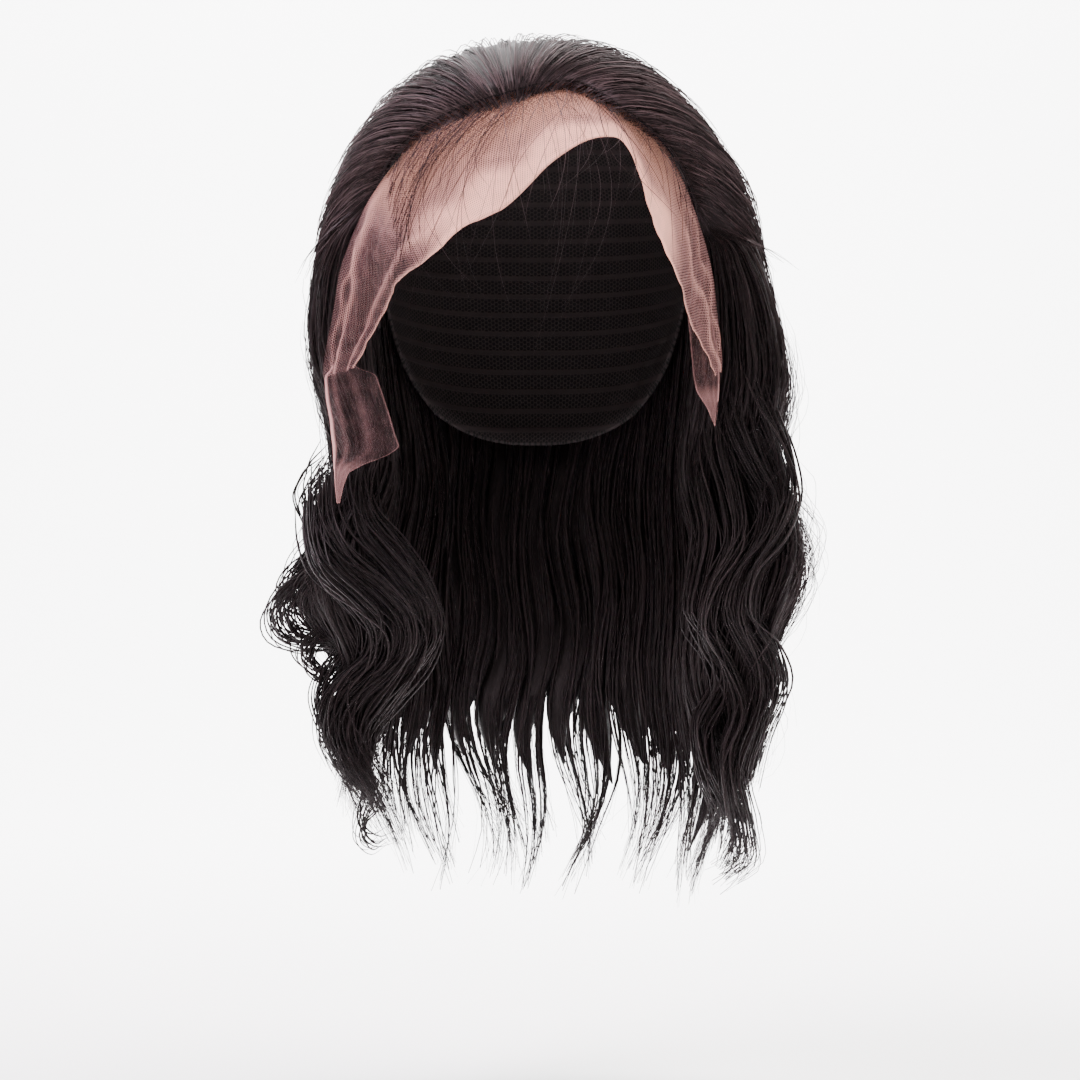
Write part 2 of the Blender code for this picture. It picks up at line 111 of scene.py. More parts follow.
# Down the hanging hair: left, right and back are shares of HAIR_HALF_WIDTH and HAIR_BACK, the inner ones of
# the cap's half width and length, and the edges are back turns in degrees where the hair ends.
CURTAIN_COLUMNS = (
    "drop", "left", "right", "back", "inner_side", "inner_back", "left_edge", "right_edge"
)
CURTAIN = (
    (0.000, 0.920, 0.950, 1.00, 1.00, 1.00, 109, 110),
    (0.085, 0.955, 1.005, 1.01, 0.99, 0.99, 107, 108),
    (0.176, 0.945, 1.065, 1.01, 0.95, 0.96, 104, 106),
    (0.267, 0.912, 1.115, 0.98, 0.93, 0.92, 103, 104),
    (0.364, 0.955, 1.110, 0.94, 0.92, 0.85, 103, 104),
    (0.458, 0.985, 1.145, 0.91, 0.92, 0.81, 105, 105),
    (0.548, 1.075, 1.125, 0.92, 0.93, 0.82, 106, 105),
    (0.630, 0.945, 1.080, 0.94, 0.94, 0.86, 104, 104),
    (0.721, 0.915, 1.015, 0.96, 0.93, 0.90, 103, 103),
    (0.812, 0.845, 0.960, 0.95, 0.89, 0.92, 102, 102),
    (0.888, 0.780, 0.915, 0.93, 0.85, 0.92, 101, 101),
    (1.000, 0.720, 0.870, 0.91, 0.80, 0.92, 100, 100),
)
# How far each lock hangs, as a share of HAIR_DROP, from the left front round to the right front.
LOCK_REACH = (
    0.830, 0.885, 0.850, 0.900, 0.940, 0.915, 0.950, 0.975, 0.955, 0.985, 0.995,
    0.970, 1.000, 0.965, 0.985, 0.945, 0.980, 0.955, 0.985, 0.930, 0.835,
)


def smooth(keys, values, at):
    """The values at these keys on a smooth curve through the pairs."""
    keys = np.asarray(keys, float)
    values = np.asarray(values, float)
    slopes = np.gradient(values, keys)
    i = np.clip(np.searchsorted(keys, at, side="right") - 1, 0, len(keys) - 2)
    span = keys[i + 1] - keys[i]
    t = np.clip((at - keys[i]) / span, 0, 1)
    rise = t * t * (3 - 2 * t)
    bend = t * (1 - t) ** 2 * slopes[i] + t * t * (t - 1) * slopes[i + 1]
    return values[i] + (values[i + 1] - values[i]) * rise + bend * span


def column(rows, names, name, at):
    """Reads one column of a table at values of its first column."""
    table = np.array(rows, float)
    return smooth(table[:, 0], table[:, names.index(name)], at)


def unit(vectors):
    return vectors / np.maximum(np.linalg.norm(vectors, axis=-1, keepdims=True), 1e-12)


print("hairline table:", len(ROOTS), "rows; curtain table:", len(CURTAIN), "rows")

# %% [markdown]
# ## The cap's form in numbers
# The cap is shaped on a superellipsoid. That is an ellipsoid whose power is a little over 2, so that it is
# squarer round its widest level. The same formula gives the cap, the lace and the inside of the hair.

# %% Places on the form
def round_reach(turn, half_width, half_length):
    across = np.abs(np.sin(turn) / half_width) ** FORM_POWER
    along = np.abs(np.cos(turn) / half_length) ** FORM_POWER
    return (across + along) ** (-1 / FORM_POWER)


def form_reach(direction, clearance):
    """How far the form, grown by the clearance, reaches from its centre in each direction."""
    height = np.where(direction[..., 2] > 0, HEAD_ABOVE, HEAD_BELOW)
    total = np.abs(direction[..., 0] / (HEAD_HALF_WIDTH + clearance)) ** FORM_POWER
    total = total + np.abs(direction[..., 1] / (HEAD_HALF_LENGTH + clearance)) ** FORM_POWER
    total = total + np.abs(direction[..., 2] / (height + clearance)) ** FORM_POWER
    return total ** (-1 / FORM_POWER)


def on_head(turn, drop, clearance, lift):
    """Points off the form, at a turn from the front in radians and a drop below the crown."""
    rise = HEAD_ABOVE - drop
    height = np.where(rise > 0, HEAD_ABOVE, HEAD_BELOW) + clearance
    share = (1 - np.minimum(np.abs(rise / height), 1) ** FORM_POWER) ** (1 / FORM_POWER)
    reach = round_reach(turn, HEAD_HALF_WIDTH + clearance, HEAD_HALF_LENGTH + clearance)
    out = share * reach + lift
    return np.stack([out * np.sin(turn), -out * np.cos(turn), -drop + 0 * out], axis=-1)


half_corner = round_reach(math.pi / 4, HEAD_HALF_WIDTH, HEAD_HALF_LENGTH)
print(f"the form reaches {half_corner / MM:.0f} mm at 45 degrees on its widest level")

# %% Places in the hanging hair
def curtain(name, drop):
    return column(CURTAIN, CURTAIN_COLUMNS, name, drop)


def curtain_reach(turn, drop, depth):
    """How far from the middle the hanging hair is, at a back turn, a drop and a depth."""
    inner = round_reach(
        turn,
        curtain("inner_side", drop) * HEAD_HALF_WIDTH + HAIR_CLEARANCE,
        curtain("inner_back", drop) * HEAD_HALF_LENGTH + HAIR_CLEARANCE,
    )
    side = np.where(turn < 0, curtain("left", drop), curtain("right", drop)) * HAIR_HALF_WIDTH
    outer = round_reach(turn, side, curtain("back", drop) * HAIR_BACK)
    return inner + (outer - inner) * depth


def wave_strength(drop):
    t = np.clip((drop - WAVE_START) / (WAVE_FULL - WAVE_START), 0, 1)
    return t * t * (3 - 2 * t)


def wave_phase(share, drop):
    return math.tau * drop * HAIR_DROP / WAVE_LENGTH + WAVE_PHASE + WAVE_TURN * share


def back_turn(share, drop, swing):
    left = -np.radians(curtain("left_edge", drop))
    right = np.radians(curtain("right_edge", drop))
    return left + (right - left) * share + swing / HAIR_HALF_WIDTH


def hanging_place(share, drop, depth, swing=0.0, lift=0.0):
    turn = back_turn(share, drop, swing)
    out = curtain_reach(turn, drop, depth) + lift
    return np.stack(
        [out * np.sin(turn), out * np.cos(turn), -HEAD_ABOVE - drop * HAIR_DROP], axis=-1
    )


longest = hanging_place(0.5, 1.0, 1.0)
print("the middle of the back ends at", (longest / MM).round(), "mm")

# %% Places in the hair over the crown
def root_direction(share):
    turn = np.radians(column(ROOTS, ROOT_COLUMNS, "turn", share))
    drop = column(ROOTS, ROOT_COLUMNS, "drop", share) * HEAD_ABOVE
    return unit(on_head(turn, drop, 0, 0) - HEAD_CENTRE)


def crown_angle(share):
    """The directions of a strand's root and of where it starts to hang, and the angle between them."""
    root = root_direction(share)
    turn = back_turn(share, 0.0, 0.0)
    level = np.stack([np.sin(turn), np.cos(turn), 0 * turn], axis=-1)
    return root, level, np.arccos(np.clip((root * level).sum(-1), -1, 1))


def crown_place(share, along, depth):
    """Places on the shortest way from the root (along 0) to where the strand starts to hang (1)."""
    root, level, angle = crown_angle(share)
    near = np.sin((1 - along) * angle) / np.sin(angle)
    far = np.sin(along * angle) / np.sin(angle)
    direction = unit(root * near[..., None] + level * far[..., None])
    turn = np.arctan2(direction[..., 0], direction[..., 1])
    side_depth = curtain_reach(turn, 0.0, 1.0) - curtain_reach(turn, 0.0, 0.0)
    flatness = np.hypot(direction[..., 0], direction[..., 1]) ** SIDE_GATHER
    full = TOP_DEPTH + (side_depth - TOP_DEPTH) * flatness
    ramp = 1 - np.exp(-angle * along * HEAD_ABOVE / ROOT_RISE)
    ramp = ramp + (1 - ramp) * along ** 3
    thickness = ROOT_DEPTH + (full - ROOT_DEPTH) * ramp
    out = form_reach(direction, HAIR_CLEARANCE) + thickness * depth
    return HEAD_CENTRE + direction * out[..., None]


print(f"from hairline to widest level: {math.degrees(crown_angle(np.array([0.5]))[2][0]):.0f} degrees")

# %% [markdown]
# ## One strand from root to tip
# A strand's path is read at even steps of length, over the crown and then down. Where the two meet it
# would have a corner, so the path is averaged along itself over a few centimetres, as a stiff fibre
# does. Body wave is a swing sideways and a swing outwards, a quarter of a turn apart. Strands that lie
# together share it, and a slow wander of the phase from lock to lock keeps it from looking combed by a
# machine.

# %% Helpers for one path
ROUNDING = 20 * MM  # the length over which a path's corners are averaged away
FRIZZ_WAVES = ((70 * MM, 1.0), (31 * MM, 0.45), (17 * MM, 0.2))  # each wave's length and share


def wander(seed, at, cells):
    """A smooth random curve with about this many turns over 0 to 1, between -1 and 1."""
    values = np.random.default_rng(seed).uniform(-1, 1, cells + 3)
    return smooth(np.linspace(-0.1, 1.1, cells + 3), values, np.clip(at, -0.1, 1.1))


def eased(t):
    t = np.clip(t, 0, 1)
    return t * t * (3 - 2 * t)


def rounded_path(path, step, radius):
    """The path averaged along itself, so that it turns no tighter than a fibre can."""
    points = path.shape[1]
    half = max(int(2 * radius / step), 1)
    window = np.exp(-0.5 * (np.arange(-half, half + 1) * step / radius) ** 2)
    window /= window.sum()
    before = 2 * path[:, :1] - path[:, half:0:-1]
    after = 2 * path[:, -1:] - path[:, -2 : -half - 2 : -1]
    padded = np.concatenate([before, path, after], 1)
    return sum(padded[:, k : k + points] * window[k] for k in range(2 * half + 1))


def frizz_of(count, travelled, size, source):
    """A small wiggle of its own for every strand."""
    total = np.zeros((count, travelled.shape[1], 3))
    for length, share in FRIZZ_WAVES:
        phase = source.uniform(0, math.tau, (count, 1, 3))
        amount = source.normal(0, share, (count, 1, 3))
        total += amount * np.sin(math.tau * travelled[..., None] / length + phase)
    return total * np.asarray(size)[:, None, None]


# %% How strands gather into locks and wave
SUBLOCKS = 63
GATHER = 0.45  # how far a sub-lock's strands draw together down the hair, and below it near the tips
GATHER_AT_TIP = 0.74
GATHER_START = 0.06  # drops, as all shares of HAIR_DROP here are
GATHER_RUN = 0.3
TIP_GATHER_START = 0.05  # below SPLIT_DROP, and the run to the tip is shorter by the next value
TIP_GATHER_END = 0.02
LOCK_GATHER = 0.55  # how far the sub-locks of a lock draw together below SPLIT_DROP
LOCK_GATHER_RUN = 0.2
TIP_FLATTEN = 0.7  # how far the depths of a lock's strands draw together at its tip
BACK_LIFT = 5 * MM  # how far the wave lifts the hair outwards at the back and at the two front edges
LEFT_LIFT = 14 * MM
RIGHT_LIFT = 10 * MM
EDGE_REACH = 0.13  # the share of the hair over which the front's bigger wave dies out
LIFT_PHASE = 2.9
LIFT_TURN = 0.7
TIP_CURL = 13 * MM
CURL_LENGTH = 0.16
CURL_ROOM = 0.3  # the share of the left side's depth that the loose curls take
CURL_ROOM_DROP = 0.53  # where they take it, and below it over how much of the drop and of the share
CURL_ROOM_RUN = 0.10
CURL_ROOM_SHARE = 0.12


def gathered_share(share, drop, lock, tip, gather):
    """The strands' shares, drawn together into sub-locks and then into their locks' tips."""
    part = (np.floor(share * SUBLOCKS) + 0.5) / SUBLOCKS
    together = GATHER * eased((drop - GATHER_START) / GATHER_RUN) * gather
    to_tip = eased((drop - SPLIT_DROP - TIP_GATHER_START) / (tip - SPLIT_DROP - TIP_GATHER_END))
    together = together + (GATHER_AT_TIP - together) * to_tip * gather
    to_lock = eased((drop - SPLIT_DROP) / LOCK_GATHER_RUN)
    part = part + ((lock + 0.5) / LOCKS - part) * LOCK_GATHER * to_lock
    return share + (part - share) * together


def gathered_depth(depth, share, drop, tip, gather):
    """The strands' depths, drawn together towards the tips, with room left for the loose curls."""
    to_tip = eased((drop - SPLIT_DROP) / (tip - SPLIT_DROP))
    depth = depth + (0.5 - depth) * TIP_FLATTEN * to_tip * gather
    room = np.exp(-(((drop - CURL_ROOM_DROP) / CURL_ROOM_RUN) ** 2))
    room = room * np.exp(-((share / CURL_ROOM_SHARE) ** 2))
    return depth * (1 - CURL_ROOM * room)


def body_wave(share, share_here, depth_here, drop, lock, tip, phase_shift, wave_size):
    """How far each point swings sideways and how far it lifts outwards."""
    slow = 0.8 * wander(5, share, 20) + 0.5 * wander(6, share, 44)
    phase = wave_phase(share_here, drop) + slow + phase_shift[:, None]
    uneven = 1 + 0.3 * np.sin(19 * share + 7 * drop) + 0.2 * wander(8, share, 30)
    strength = wave_strength(drop) * wave_size[:, None] * uneven
    left = np.exp(-((share / EDGE_REACH) ** 2))
    right = np.exp(-(((1 - share) / EDGE_REACH) ** 2))
    lift_size = BACK_LIFT + (LEFT_LIFT - BACK_LIFT) * left + (RIGHT_LIFT - BACK_LIFT) * right
    lift_phase = math.tau * drop * HAIR_DROP / WAVE_LENGTH + LIFT_PHASE + LIFT_TURN * share
    lift_phase = lift_phase + 0.8 * slow + phase_shift[:, None]
    swing = WAVE_SWING * strength * np.sin(phase)
    lift = lift_size * strength * (np.cos(lift_phase) * (0.7 + 0.3 * depth_here) - 0.7 * depth_here)
    curl = eased((drop - tip + CURL_LENGTH) / CURL_LENGTH) * TIP_CURL
    swing = swing + curl * np.sin(lock * 2.4 + 0.6)
    return swing, lift - curl * 0.5 * np.cos(lock * 1.7)


# %% Paths of many strands at once
ROUNDING_FADE = 30 * MM  # a root stays where it is, so rounding and frizz fade in over these lengths
FRIZZ_FADE = 60 * MM


def strand_paths(share, depth, reach, points, phase_shift, wave_size, begin=0.0, frizz=0.0, gather=1.0):
    """Paths as an array of strands by points by 3, and each point's drop."""
    angle = crown_angle(share)[2]
    crown_length = angle * (HEAD_ABOVE + TOP_DEPTH)
    length = crown_length + reach * HAIR_DROP
    begin = np.broadcast_to(begin, share.shape)[:, None]
    travelled = (begin + (1 - begin) * np.linspace(0, 1, points)[None, :]) * length[:, None]
    along = np.clip(travelled / crown_length[:, None], -0.2, 1)
    drop = np.clip((travelled - crown_length[:, None]) / HAIR_DROP, 0, 1.05)
    share = np.broadcast_to(share[:, None], drop.shape)
    depth = np.broadcast_to(depth[:, None], drop.shape)
    lock = np.clip((share * LOCKS).astype(int), 0, LOCKS - 1)
    tip = np.array(LOCK_REACH)[lock]
    share_here = gathered_share(share, drop, lock, tip, gather)
    depth_here = gathered_depth(depth, share, drop, tip, gather)
    swing, lift = body_wave(share, share_here, depth_here, drop, lock, tip, phase_shift, wave_size)
    over = crown_place(share_here, along, depth_here)
    down = hanging_place(share_here, drop, depth_here, swing, lift)
    path = np.where((drop > 0)[..., None], down, over)
    rounded = rounded_path(path, length.mean() / points, ROUNDING)
    keep = eased((travelled - begin * length[:, None]) / ROUNDING_FADE)
    path = path + (rounded - path) * keep[..., None]
    if np.any(frizz):
        amount = frizz_of(len(path), travelled, np.broadcast_to(frizz, angle.shape), rng)
        path = path + amount * eased(travelled / FRIZZ_FADE)[..., None]
    return path, drop


middle_strand, _ = strand_paths(np.array([0.5]), np.ones(1), np.ones(1), 90, np.zeros(1), np.ones(1))
middle_length = np.linalg.norm(np.diff(middle_strand[0], axis=0), axis=-1).sum()
print(f"a strand in the middle of the back is {middle_length / MM:.0f} mm long")

# %% [markdown]
# ## The look of hair
# A dark hair is nearly black where it faces us and shines along its sides, so bundles of hair show fine
# streaks that run with the strand and bands of light across it. Each hair piece carries a UV map in
# millimetres, across and along the strand, and noise that is stretched along the strand gives the
# streaks in colour, roughness and bump. The stretch is done by scaling the UVs before the noise reads
# them. A value on the mesh, its tint, says how pale each strand's streaks are. Over the crown that value
# is raised, and there the pale colour is a painted sheen.

# %% Helpers for materials
def add_node(tree, kind, inputs=None, **settings):
    """A node with these settings, and with inputs that are numbers, colours or other nodes' outputs."""
    node = tree.nodes.new(kind)
    for name, value in settings.items():
        setattr(node, name, value)
    for name, value in (inputs or {}).items():
        if isinstance(value, bpy.types.NodeSocket):
            tree.links.new(value, node.inputs[name])
        else:
            node.inputs[name].default_value = value
    return node


def math_node(tree, operation, *values, clamp=False):
    node = add_node(tree, "ShaderNodeMath", dict(enumerate(values)), operation=operation, use_clamp=clamp)
    return node.outputs["Value"]


def remap(tree, value, low, high, to_low=0.0, to_high=1.0):
    """The value stretched from one range to another, and held inside it."""
    ranges = {"From Min": low, "From Max": high, "To Min": to_low, "To Max": to_high}
    return add_node(tree, "ShaderNodeMapRange", {"Value": value, **ranges}).outputs["Result"]


def mix_colours(tree, share, first, second):
    node = add_node(tree, "ShaderNodeMix", {"Factor": share, "A": first, "B": second}, data_type="RGBA")
    return node.outputs["Result"]


def new_group(name, inputs, outputs):
    """An empty shader node group with these named sockets, and its two end nodes."""
    group = bpy.data.node_groups.new(name, "ShaderNodeTree")
    for title, kind, value in inputs:
        group.interface.new_socket(title, in_out="INPUT", socket_type=kind).default_value = value
    for title, kind in outputs:
        group.interface.new_socket(title, in_out="OUTPUT", socket_type=kind)
    return group, add_node(group, "NodeGroupInput"), add_node(group, "NodeGroupOutput")


def new_material(name, **constants):
    """A material, its node tree and its shader, with constants on the shader's own sockets."""
    material = bpy.data.materials.new(name)
    material.use_nodes = True
    shader = material.node_tree.nodes["Principled BSDF"]
    for title, value in constants.items():
        shader.inputs[title.replace("_", " ")].default_value = value
    return material, material.node_tree, shader


def add_relief(tree, shader, height, strength, distance):
    values = {"Height": height, "Strength": strength, "Distance": distance}
    relief = add_node(tree, "ShaderNodeBump", values)
    tree.links.new(relief.outputs["Normal"], shader.inputs["Normal"])


# %% A node group for strand streaks
STREAK_RANGE = (0.36, 0.66)  # the part of the fine noise that runs from dark to pale
ROUGHNESS_RANGE = (0.36, 0.58)


def strand_streaks():
    group, entry, leave = new_group(
        "strand_streaks",
        [
            ("Across", "NodeSocketFloat", 2.2),
            ("Along", "NodeSocketFloat", 0.035),
            ("Dark", "NodeSocketColor", (0.006, 0.0045, 0.0048, 1)),
            ("Light", "NodeSocketColor", (0.034, 0.023, 0.021, 1)),
        ],
        [("Colour", "NodeSocketColor"), ("Streak", "NodeSocketFloat"), ("Roughness", "NodeSocketFloat")],
    )
    uv = add_node(group, "ShaderNodeUVMap", uv_map="strand_mm").outputs["UV"]
    scale = add_node(
        group, "ShaderNodeCombineXYZ", {"X": entry.outputs["Across"], "Y": entry.outputs["Along"]}
    ).outputs["Vector"]
    stretched = add_node(group, "ShaderNodeVectorMath", {0: uv, 1: scale}, operation="MULTIPLY")
    stretched = stretched.outputs["Vector"]
    fine = {"Vector": stretched, "Scale": 1.0, "Detail": 3.0, "Roughness": 0.65}
    fine = add_node(group, "ShaderNodeTexNoise", fine).outputs["Fac"]
    broad = {"Vector": stretched, "Scale": 0.28, "Detail": 1.0}
    broad = add_node(group, "ShaderNodeTexNoise", broad).outputs["Fac"]
    tint = add_node(group, "ShaderNodeAttribute", attribute_name="strand_tint").outputs["Fac"]
    # painted sheen: where strand_tint is raised over the crown, this mix reaches the pale colour
    shade = math_node(group, "MULTIPLY", remap(group, fine, *STREAK_RANGE), tint, clamp=True)
    colour = mix_colours(group, shade, entry.outputs["Dark"], entry.outputs["Light"])
    group.links.new(colour, leave.inputs["Colour"])
    group.links.new(math_node(group, "ADD", fine, broad), leave.inputs["Streak"])
    group.links.new(remap(group, broad, 0.0, 1.0, *ROUGHNESS_RANGE), leave.inputs["Roughness"])
    return group


STREAKS = strand_streaks()
print("strand_streaks:", len(STREAKS.nodes), "nodes")

# %% Three hair materials, from the hair underneath to single strands
def hair_material(name, dark, light, bump, across):
    material, tree, shader = new_material(
        name, Specular_IOR_Level=0.17, Specular_Tint=(1.0, 0.84, 0.86, 1), Sheen_Weight=0.015,
        Sheen_Roughness=0.4,
    )
    streaks = {"Across": across, "Dark": (*dark, 1), "Light": (*light, 1)}
    streaks = add_node(tree, "ShaderNodeGroup", streaks, node_tree=STREAKS)
    tree.links.new(streaks.outputs["Colour"], shader.inputs["Base Color"])
    tree.links.new(streaks.outputs["Roughness"], shader.inputs["Roughness"])
    add_relief(tree, shader, streaks.outputs["Streak"], bump, 0.5 * MM)
    print("hair material:", name)
    return material


# painted shade: the hair underneath has far darker colours than the locks and strands on top
MASS_HAIR_SHADED = hair_material("hair_underneath_shaded", (0.0008, 0.0005, 0.0005), (0.0040, 0.0025, 0.0024), 0.9, 1.6)
# The pale colours of the locks and strands are their pale streaks, and over the crown a painted sheen.
LOCK_HAIR = hair_material("hair_locks", (0.0014, 0.0008, 0.0008), (0.066, 0.044, 0.0465), 0.6, 2.2)
FINE_HAIR = hair_material("hair_strands", (0.0020, 0.0012, 0.0012), (0.088, 0.058, 0.060), 0.2, 2.2)

# %% [markdown]
# ## Meshes from arrays
# Thousands of strands are far too many to extrude one by one, so their points are worked out with numpy
# and joined into one mesh. Every strand is a tube with three or four sides, flatter than it is wide,
# and closed at both ends. Its ring of corners runs the way that makes its faces point outwards.

# %% Tubes along paths
CROWN_SHEEN = 5  # how many times paler a strand gets over the crown, on top of its own tint: a painted sheen
CROWN_START = -0.12  # the height where it starts, and the rise over which it grows
CROWN_RISE = 0.10
CROWN_FADE_RIGHT = 0.3  # how much of it is lost at the right and at the back
CROWN_FADE_BACK = 0.7
RING_UV = 2.2  # streak widths round a tube for each of its millimetres


def strand_frames(path, outward):
    """The sideways and outward directions at each point of each path."""
    along = unit(np.gradient(path, axis=1))
    sideways = unit(np.cross(along, outward))
    return sideways, unit(np.cross(sideways, along))


def tube_points(path, outward, width, flatness, sides, roll):
    sideways, out = strand_frames(path, outward)
    if roll is not None:
        cos, sin = np.cos(roll)[..., None], np.sin(roll)[..., None]
        sideways, out = sideways * cos + out * sin, out * cos - sideways * sin
    corners = (math.pi / 2 if sides == 3 else 0) - np.arange(sides) * math.tau / sides
    return (
        path[:, :, None]
        + sideways[:, :, None] * np.cos(corners)[:, None] * width[..., None, None] / 2
        + out[:, :, None] * np.sin(corners)[:, None] * width[..., None, None] / 2 * flatness
    )


def tube_faces(count, points, sides):
    """Four-sided faces along every tube, and one face at each of its ends."""
    base = (np.arange(count)[:, None] * points + np.arange(points - 1)[None, :]) * sides
    base = base[..., None]
    here = np.arange(sides)
    following = (here + 1) % sides
    quads = [base + here, base + following, base + sides + following, base + sides + here]
    first = np.arange(count)[:, None] * points * sides
    return np.stack(quads, axis=-1).reshape(-1, 4), first + here[::-1], first + (points - 1) * sides + here


def tube_uvs(path, width, sides):
    """Millimetres round and along each tube, from a random start so that no two have the same streaks."""
    count = len(path)
    here = np.arange(sides)
    length = np.concatenate(
        [np.zeros((count, 1)), np.linalg.norm(np.diff(path, axis=1), axis=-1).cumsum(1)], axis=1
    )
    offset = rng.uniform(0, 900, (count, 2))
    across = width.mean(axis=1) / MM * RING_UV / sides
    round_it = np.stack([here, here + 1, here + 1, here], -1)[None, None, :, :]
    u = offset[:, None, None, :1] + round_it * across[:, None, None, None]
    v = offset[:, None, None, 1:] + np.stack(
        [length[:, :-1], length[:, :-1], length[:, 1:], length[:, 1:]], -1
    )[:, :, None, :] / MM
    u, v = np.broadcast_arrays(u, v)
    return np.concatenate([np.stack([u, v], -1).reshape(-1, 2), np.repeat(offset, 2 * sides, axis=0)])


def crown_sheen_tints(path, tint):
    """The strands' tints, with a painted sheen over the crown that is palest at its left."""
    high = eased((path[..., 2] - CROWN_START) / CROWN_RISE)
    high = high * (1 - CROWN_FADE_RIGHT * eased((path[..., 0] + 0.03) / 0.06))
    high = high * (1 - CROWN_FADE_BACK * eased((path[..., 1] - 0.01) / 0.07))
    return tint[:, None] * (1 + CROWN_SHEEN * high)


def set_values(data, name, values, kind=np.float32):
    data.foreach_set(name, np.ascontiguousarray(values, kind).ravel())


def point_values(mesh, name, values):
    set_values(mesh.attributes.new(name, "FLOAT", "POINT").data, "value", values)


def strands_mesh(name, path, outward, width, flatness, sides, tint, roll=None):
    """Joins closed tubes along these paths into one mesh with a UV map in millimetres."""
    count, points, _ = path.shape
    vertices = tube_points(path, outward, width, flatness, sides, roll).reshape(-1, 3)
    quads, start_caps, end_caps = tube_faces(count, points, sides)
    loops = np.concatenate([quads.ravel(), start_caps.ravel(), end_caps.ravel()])
    sizes = np.concatenate([np.full(len(quads), 4), np.full(2 * count, sides)])
    mesh = bpy.data.meshes.new(name)
    mesh.vertices.add(len(vertices))
    set_values(mesh.vertices, "co", vertices)
    mesh.loops.add(len(loops))
    set_values(mesh.loops, "vertex_index", loops, np.int32)
    mesh.polygons.add(len(sizes))
    set_values(mesh.polygons, "loop_start", np.concatenate([[0], sizes.cumsum()[:-1]]), np.int32)
    mesh.update(calc_edges=True)
    set_values(mesh.uv_layers.new(name="strand_mm").data, "uv", tube_uvs(path, width, sides))
    # strand_tint holds each strand's own random tone, with the painted crown sheen on top of it.
    point_values(mesh, "strand_tint", np.repeat(crown_sheen_tints(path, tint)[..., None], sides, axis=-1))
    mesh.shade_smooth()
    mesh.validate()
    return mesh


def triangles_of(mesh):
    return sum(len(p.vertices) - 2 for p in mesh.polygons)


def add_piece(name, mesh, material):
    piece = bpy.data.objects.new(name, mesh)
    bpy.context.scene.collection.objects.link(piece)
    mesh.materials.clear()
    mesh.materials.append(material)
    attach(piece, "root")
    print(f"{name}: {triangles_of(mesh)} triangles")
    return piece


# %% [markdown]
# ## The mass of hair underneath
# Under the strands that we see lie many more. They are one closed form for each lock, from its root to
# its tip, a little inside the solid, so that no light passes between the strands on top. It narrows
# below the place where the locks part, and ends before the strands do, sooner at the back than at the
# two open edges in front. Each section of the real wig hangs by itself, so each is a piece. The form's
# colours are far darker than those of the hair on top, as painted shade.

# %% Closed forms for the hair's mass
MASS_POINTS = 78
MASS_SIDES = 14
MASS_DEPTH = (0.10, 0.84)
MASS_SQUARENESS = 1.25  # a round ring would be 1
MASS_CROWNED = 0.22  # how much its outside falls off towards its sides
MASS_HALF_WIDTH = 0.52  # of a lock, so that neighbours overlap
MASS_SHORT = 0.16  # how much sooner it ends than the strands, as a share of HAIR_DROP
MASS_SHORT_IN_FRONT = 0.06
MASS_TIP = 0.04  # its size at the tip
MASS_TINT = 0.35


def mass_reach(lock):
    in_front = lock < 3 or lock >= LOCKS - 3
    return LOCK_REACH[lock] - (MASS_SHORT_IN_FRONT if in_front else MASS_SHORT)


def mass_ring(lock):
    """The share and depth of each corner of one lock's ring."""
    around = -np.linspace(0, math.tau, MASS_SIDES, endpoint=False)
    across = np.clip(np.cos(around) * MASS_SQUARENESS, -1, 1)
    deep = np.clip(np.sin(around) * MASS_SQUARENESS, -1, 1)
    crowned = 1 - MASS_CROWNED * across ** 2 * (deep > 0)
    share = (lock + 0.5 + MASS_HALF_WIDTH * across) / LOCKS
    low, high = MASS_DEPTH
    return np.clip(share, 0.010, 0.990), low + (high - low) * (0.5 + 0.5 * deep * crowned)


def mass_points(lock):
    """One lock's rings of points from root to tip."""
    share, depth = mass_ring(lock)
    reach = np.full(MASS_SIDES, mass_reach(lock))
    zeros = np.zeros(MASS_SIDES)
    path, drop = strand_paths(share, depth, reach, MASS_POINTS, zeros, zeros + 1, gather=0.25)
    middle = path.mean(axis=0, keepdims=True)
    tip = (mass_reach(lock) - drop) / (mass_reach(lock) - SPLIT_DROP)
    size = np.where(drop > SPLIT_DROP, MASS_TIP + (1 - MASS_TIP) * np.clip(tip, 0, 1) ** 1.1, 1)
    path = middle + (path - middle) * size[..., None]
    return np.swapaxes(path, 0, 1).reshape(-1, 3)


def mass_mesh(name, locks):
    vertices, faces, uvs = [], [], []
    for lock in locks:
        start = len(vertices) * MASS_POINTS * MASS_SIDES
        vertices.append(mass_points(lock))
        for row in range(MASS_POINTS - 1):
            for k in range(MASS_SIDES):
                a = start + row * MASS_SIDES + k
                b = start + row * MASS_SIDES + (k + 1) % MASS_SIDES
                faces.append((a, b, b + MASS_SIDES, a + MASS_SIDES))
                left, low = k * 4, row * 7
                uvs.append([(left, low), (left + 4, low), (left + 4, low + 7), (left, low + 7)])
        faces.append(tuple(start + k for k in range(MASS_SIDES))[::-1])
        faces.append(tuple(start + (MASS_POINTS - 1) * MASS_SIDES + k for k in range(MASS_SIDES)))
        uvs += [[(0, 0)] * MASS_SIDES] * 2
    mesh = bpy.data.meshes.new(name)
    mesh.from_pydata(np.concatenate(vertices).tolist(), [], faces)
    set_values(mesh.uv_layers.new(name="strand_mm").data, "uv", [c for f in uvs for p in f for c in p])
    point_values(mesh, "strand_tint", [MASS_TINT] * len(mesh.vertices))
    mesh.shade_smooth()
    return mesh


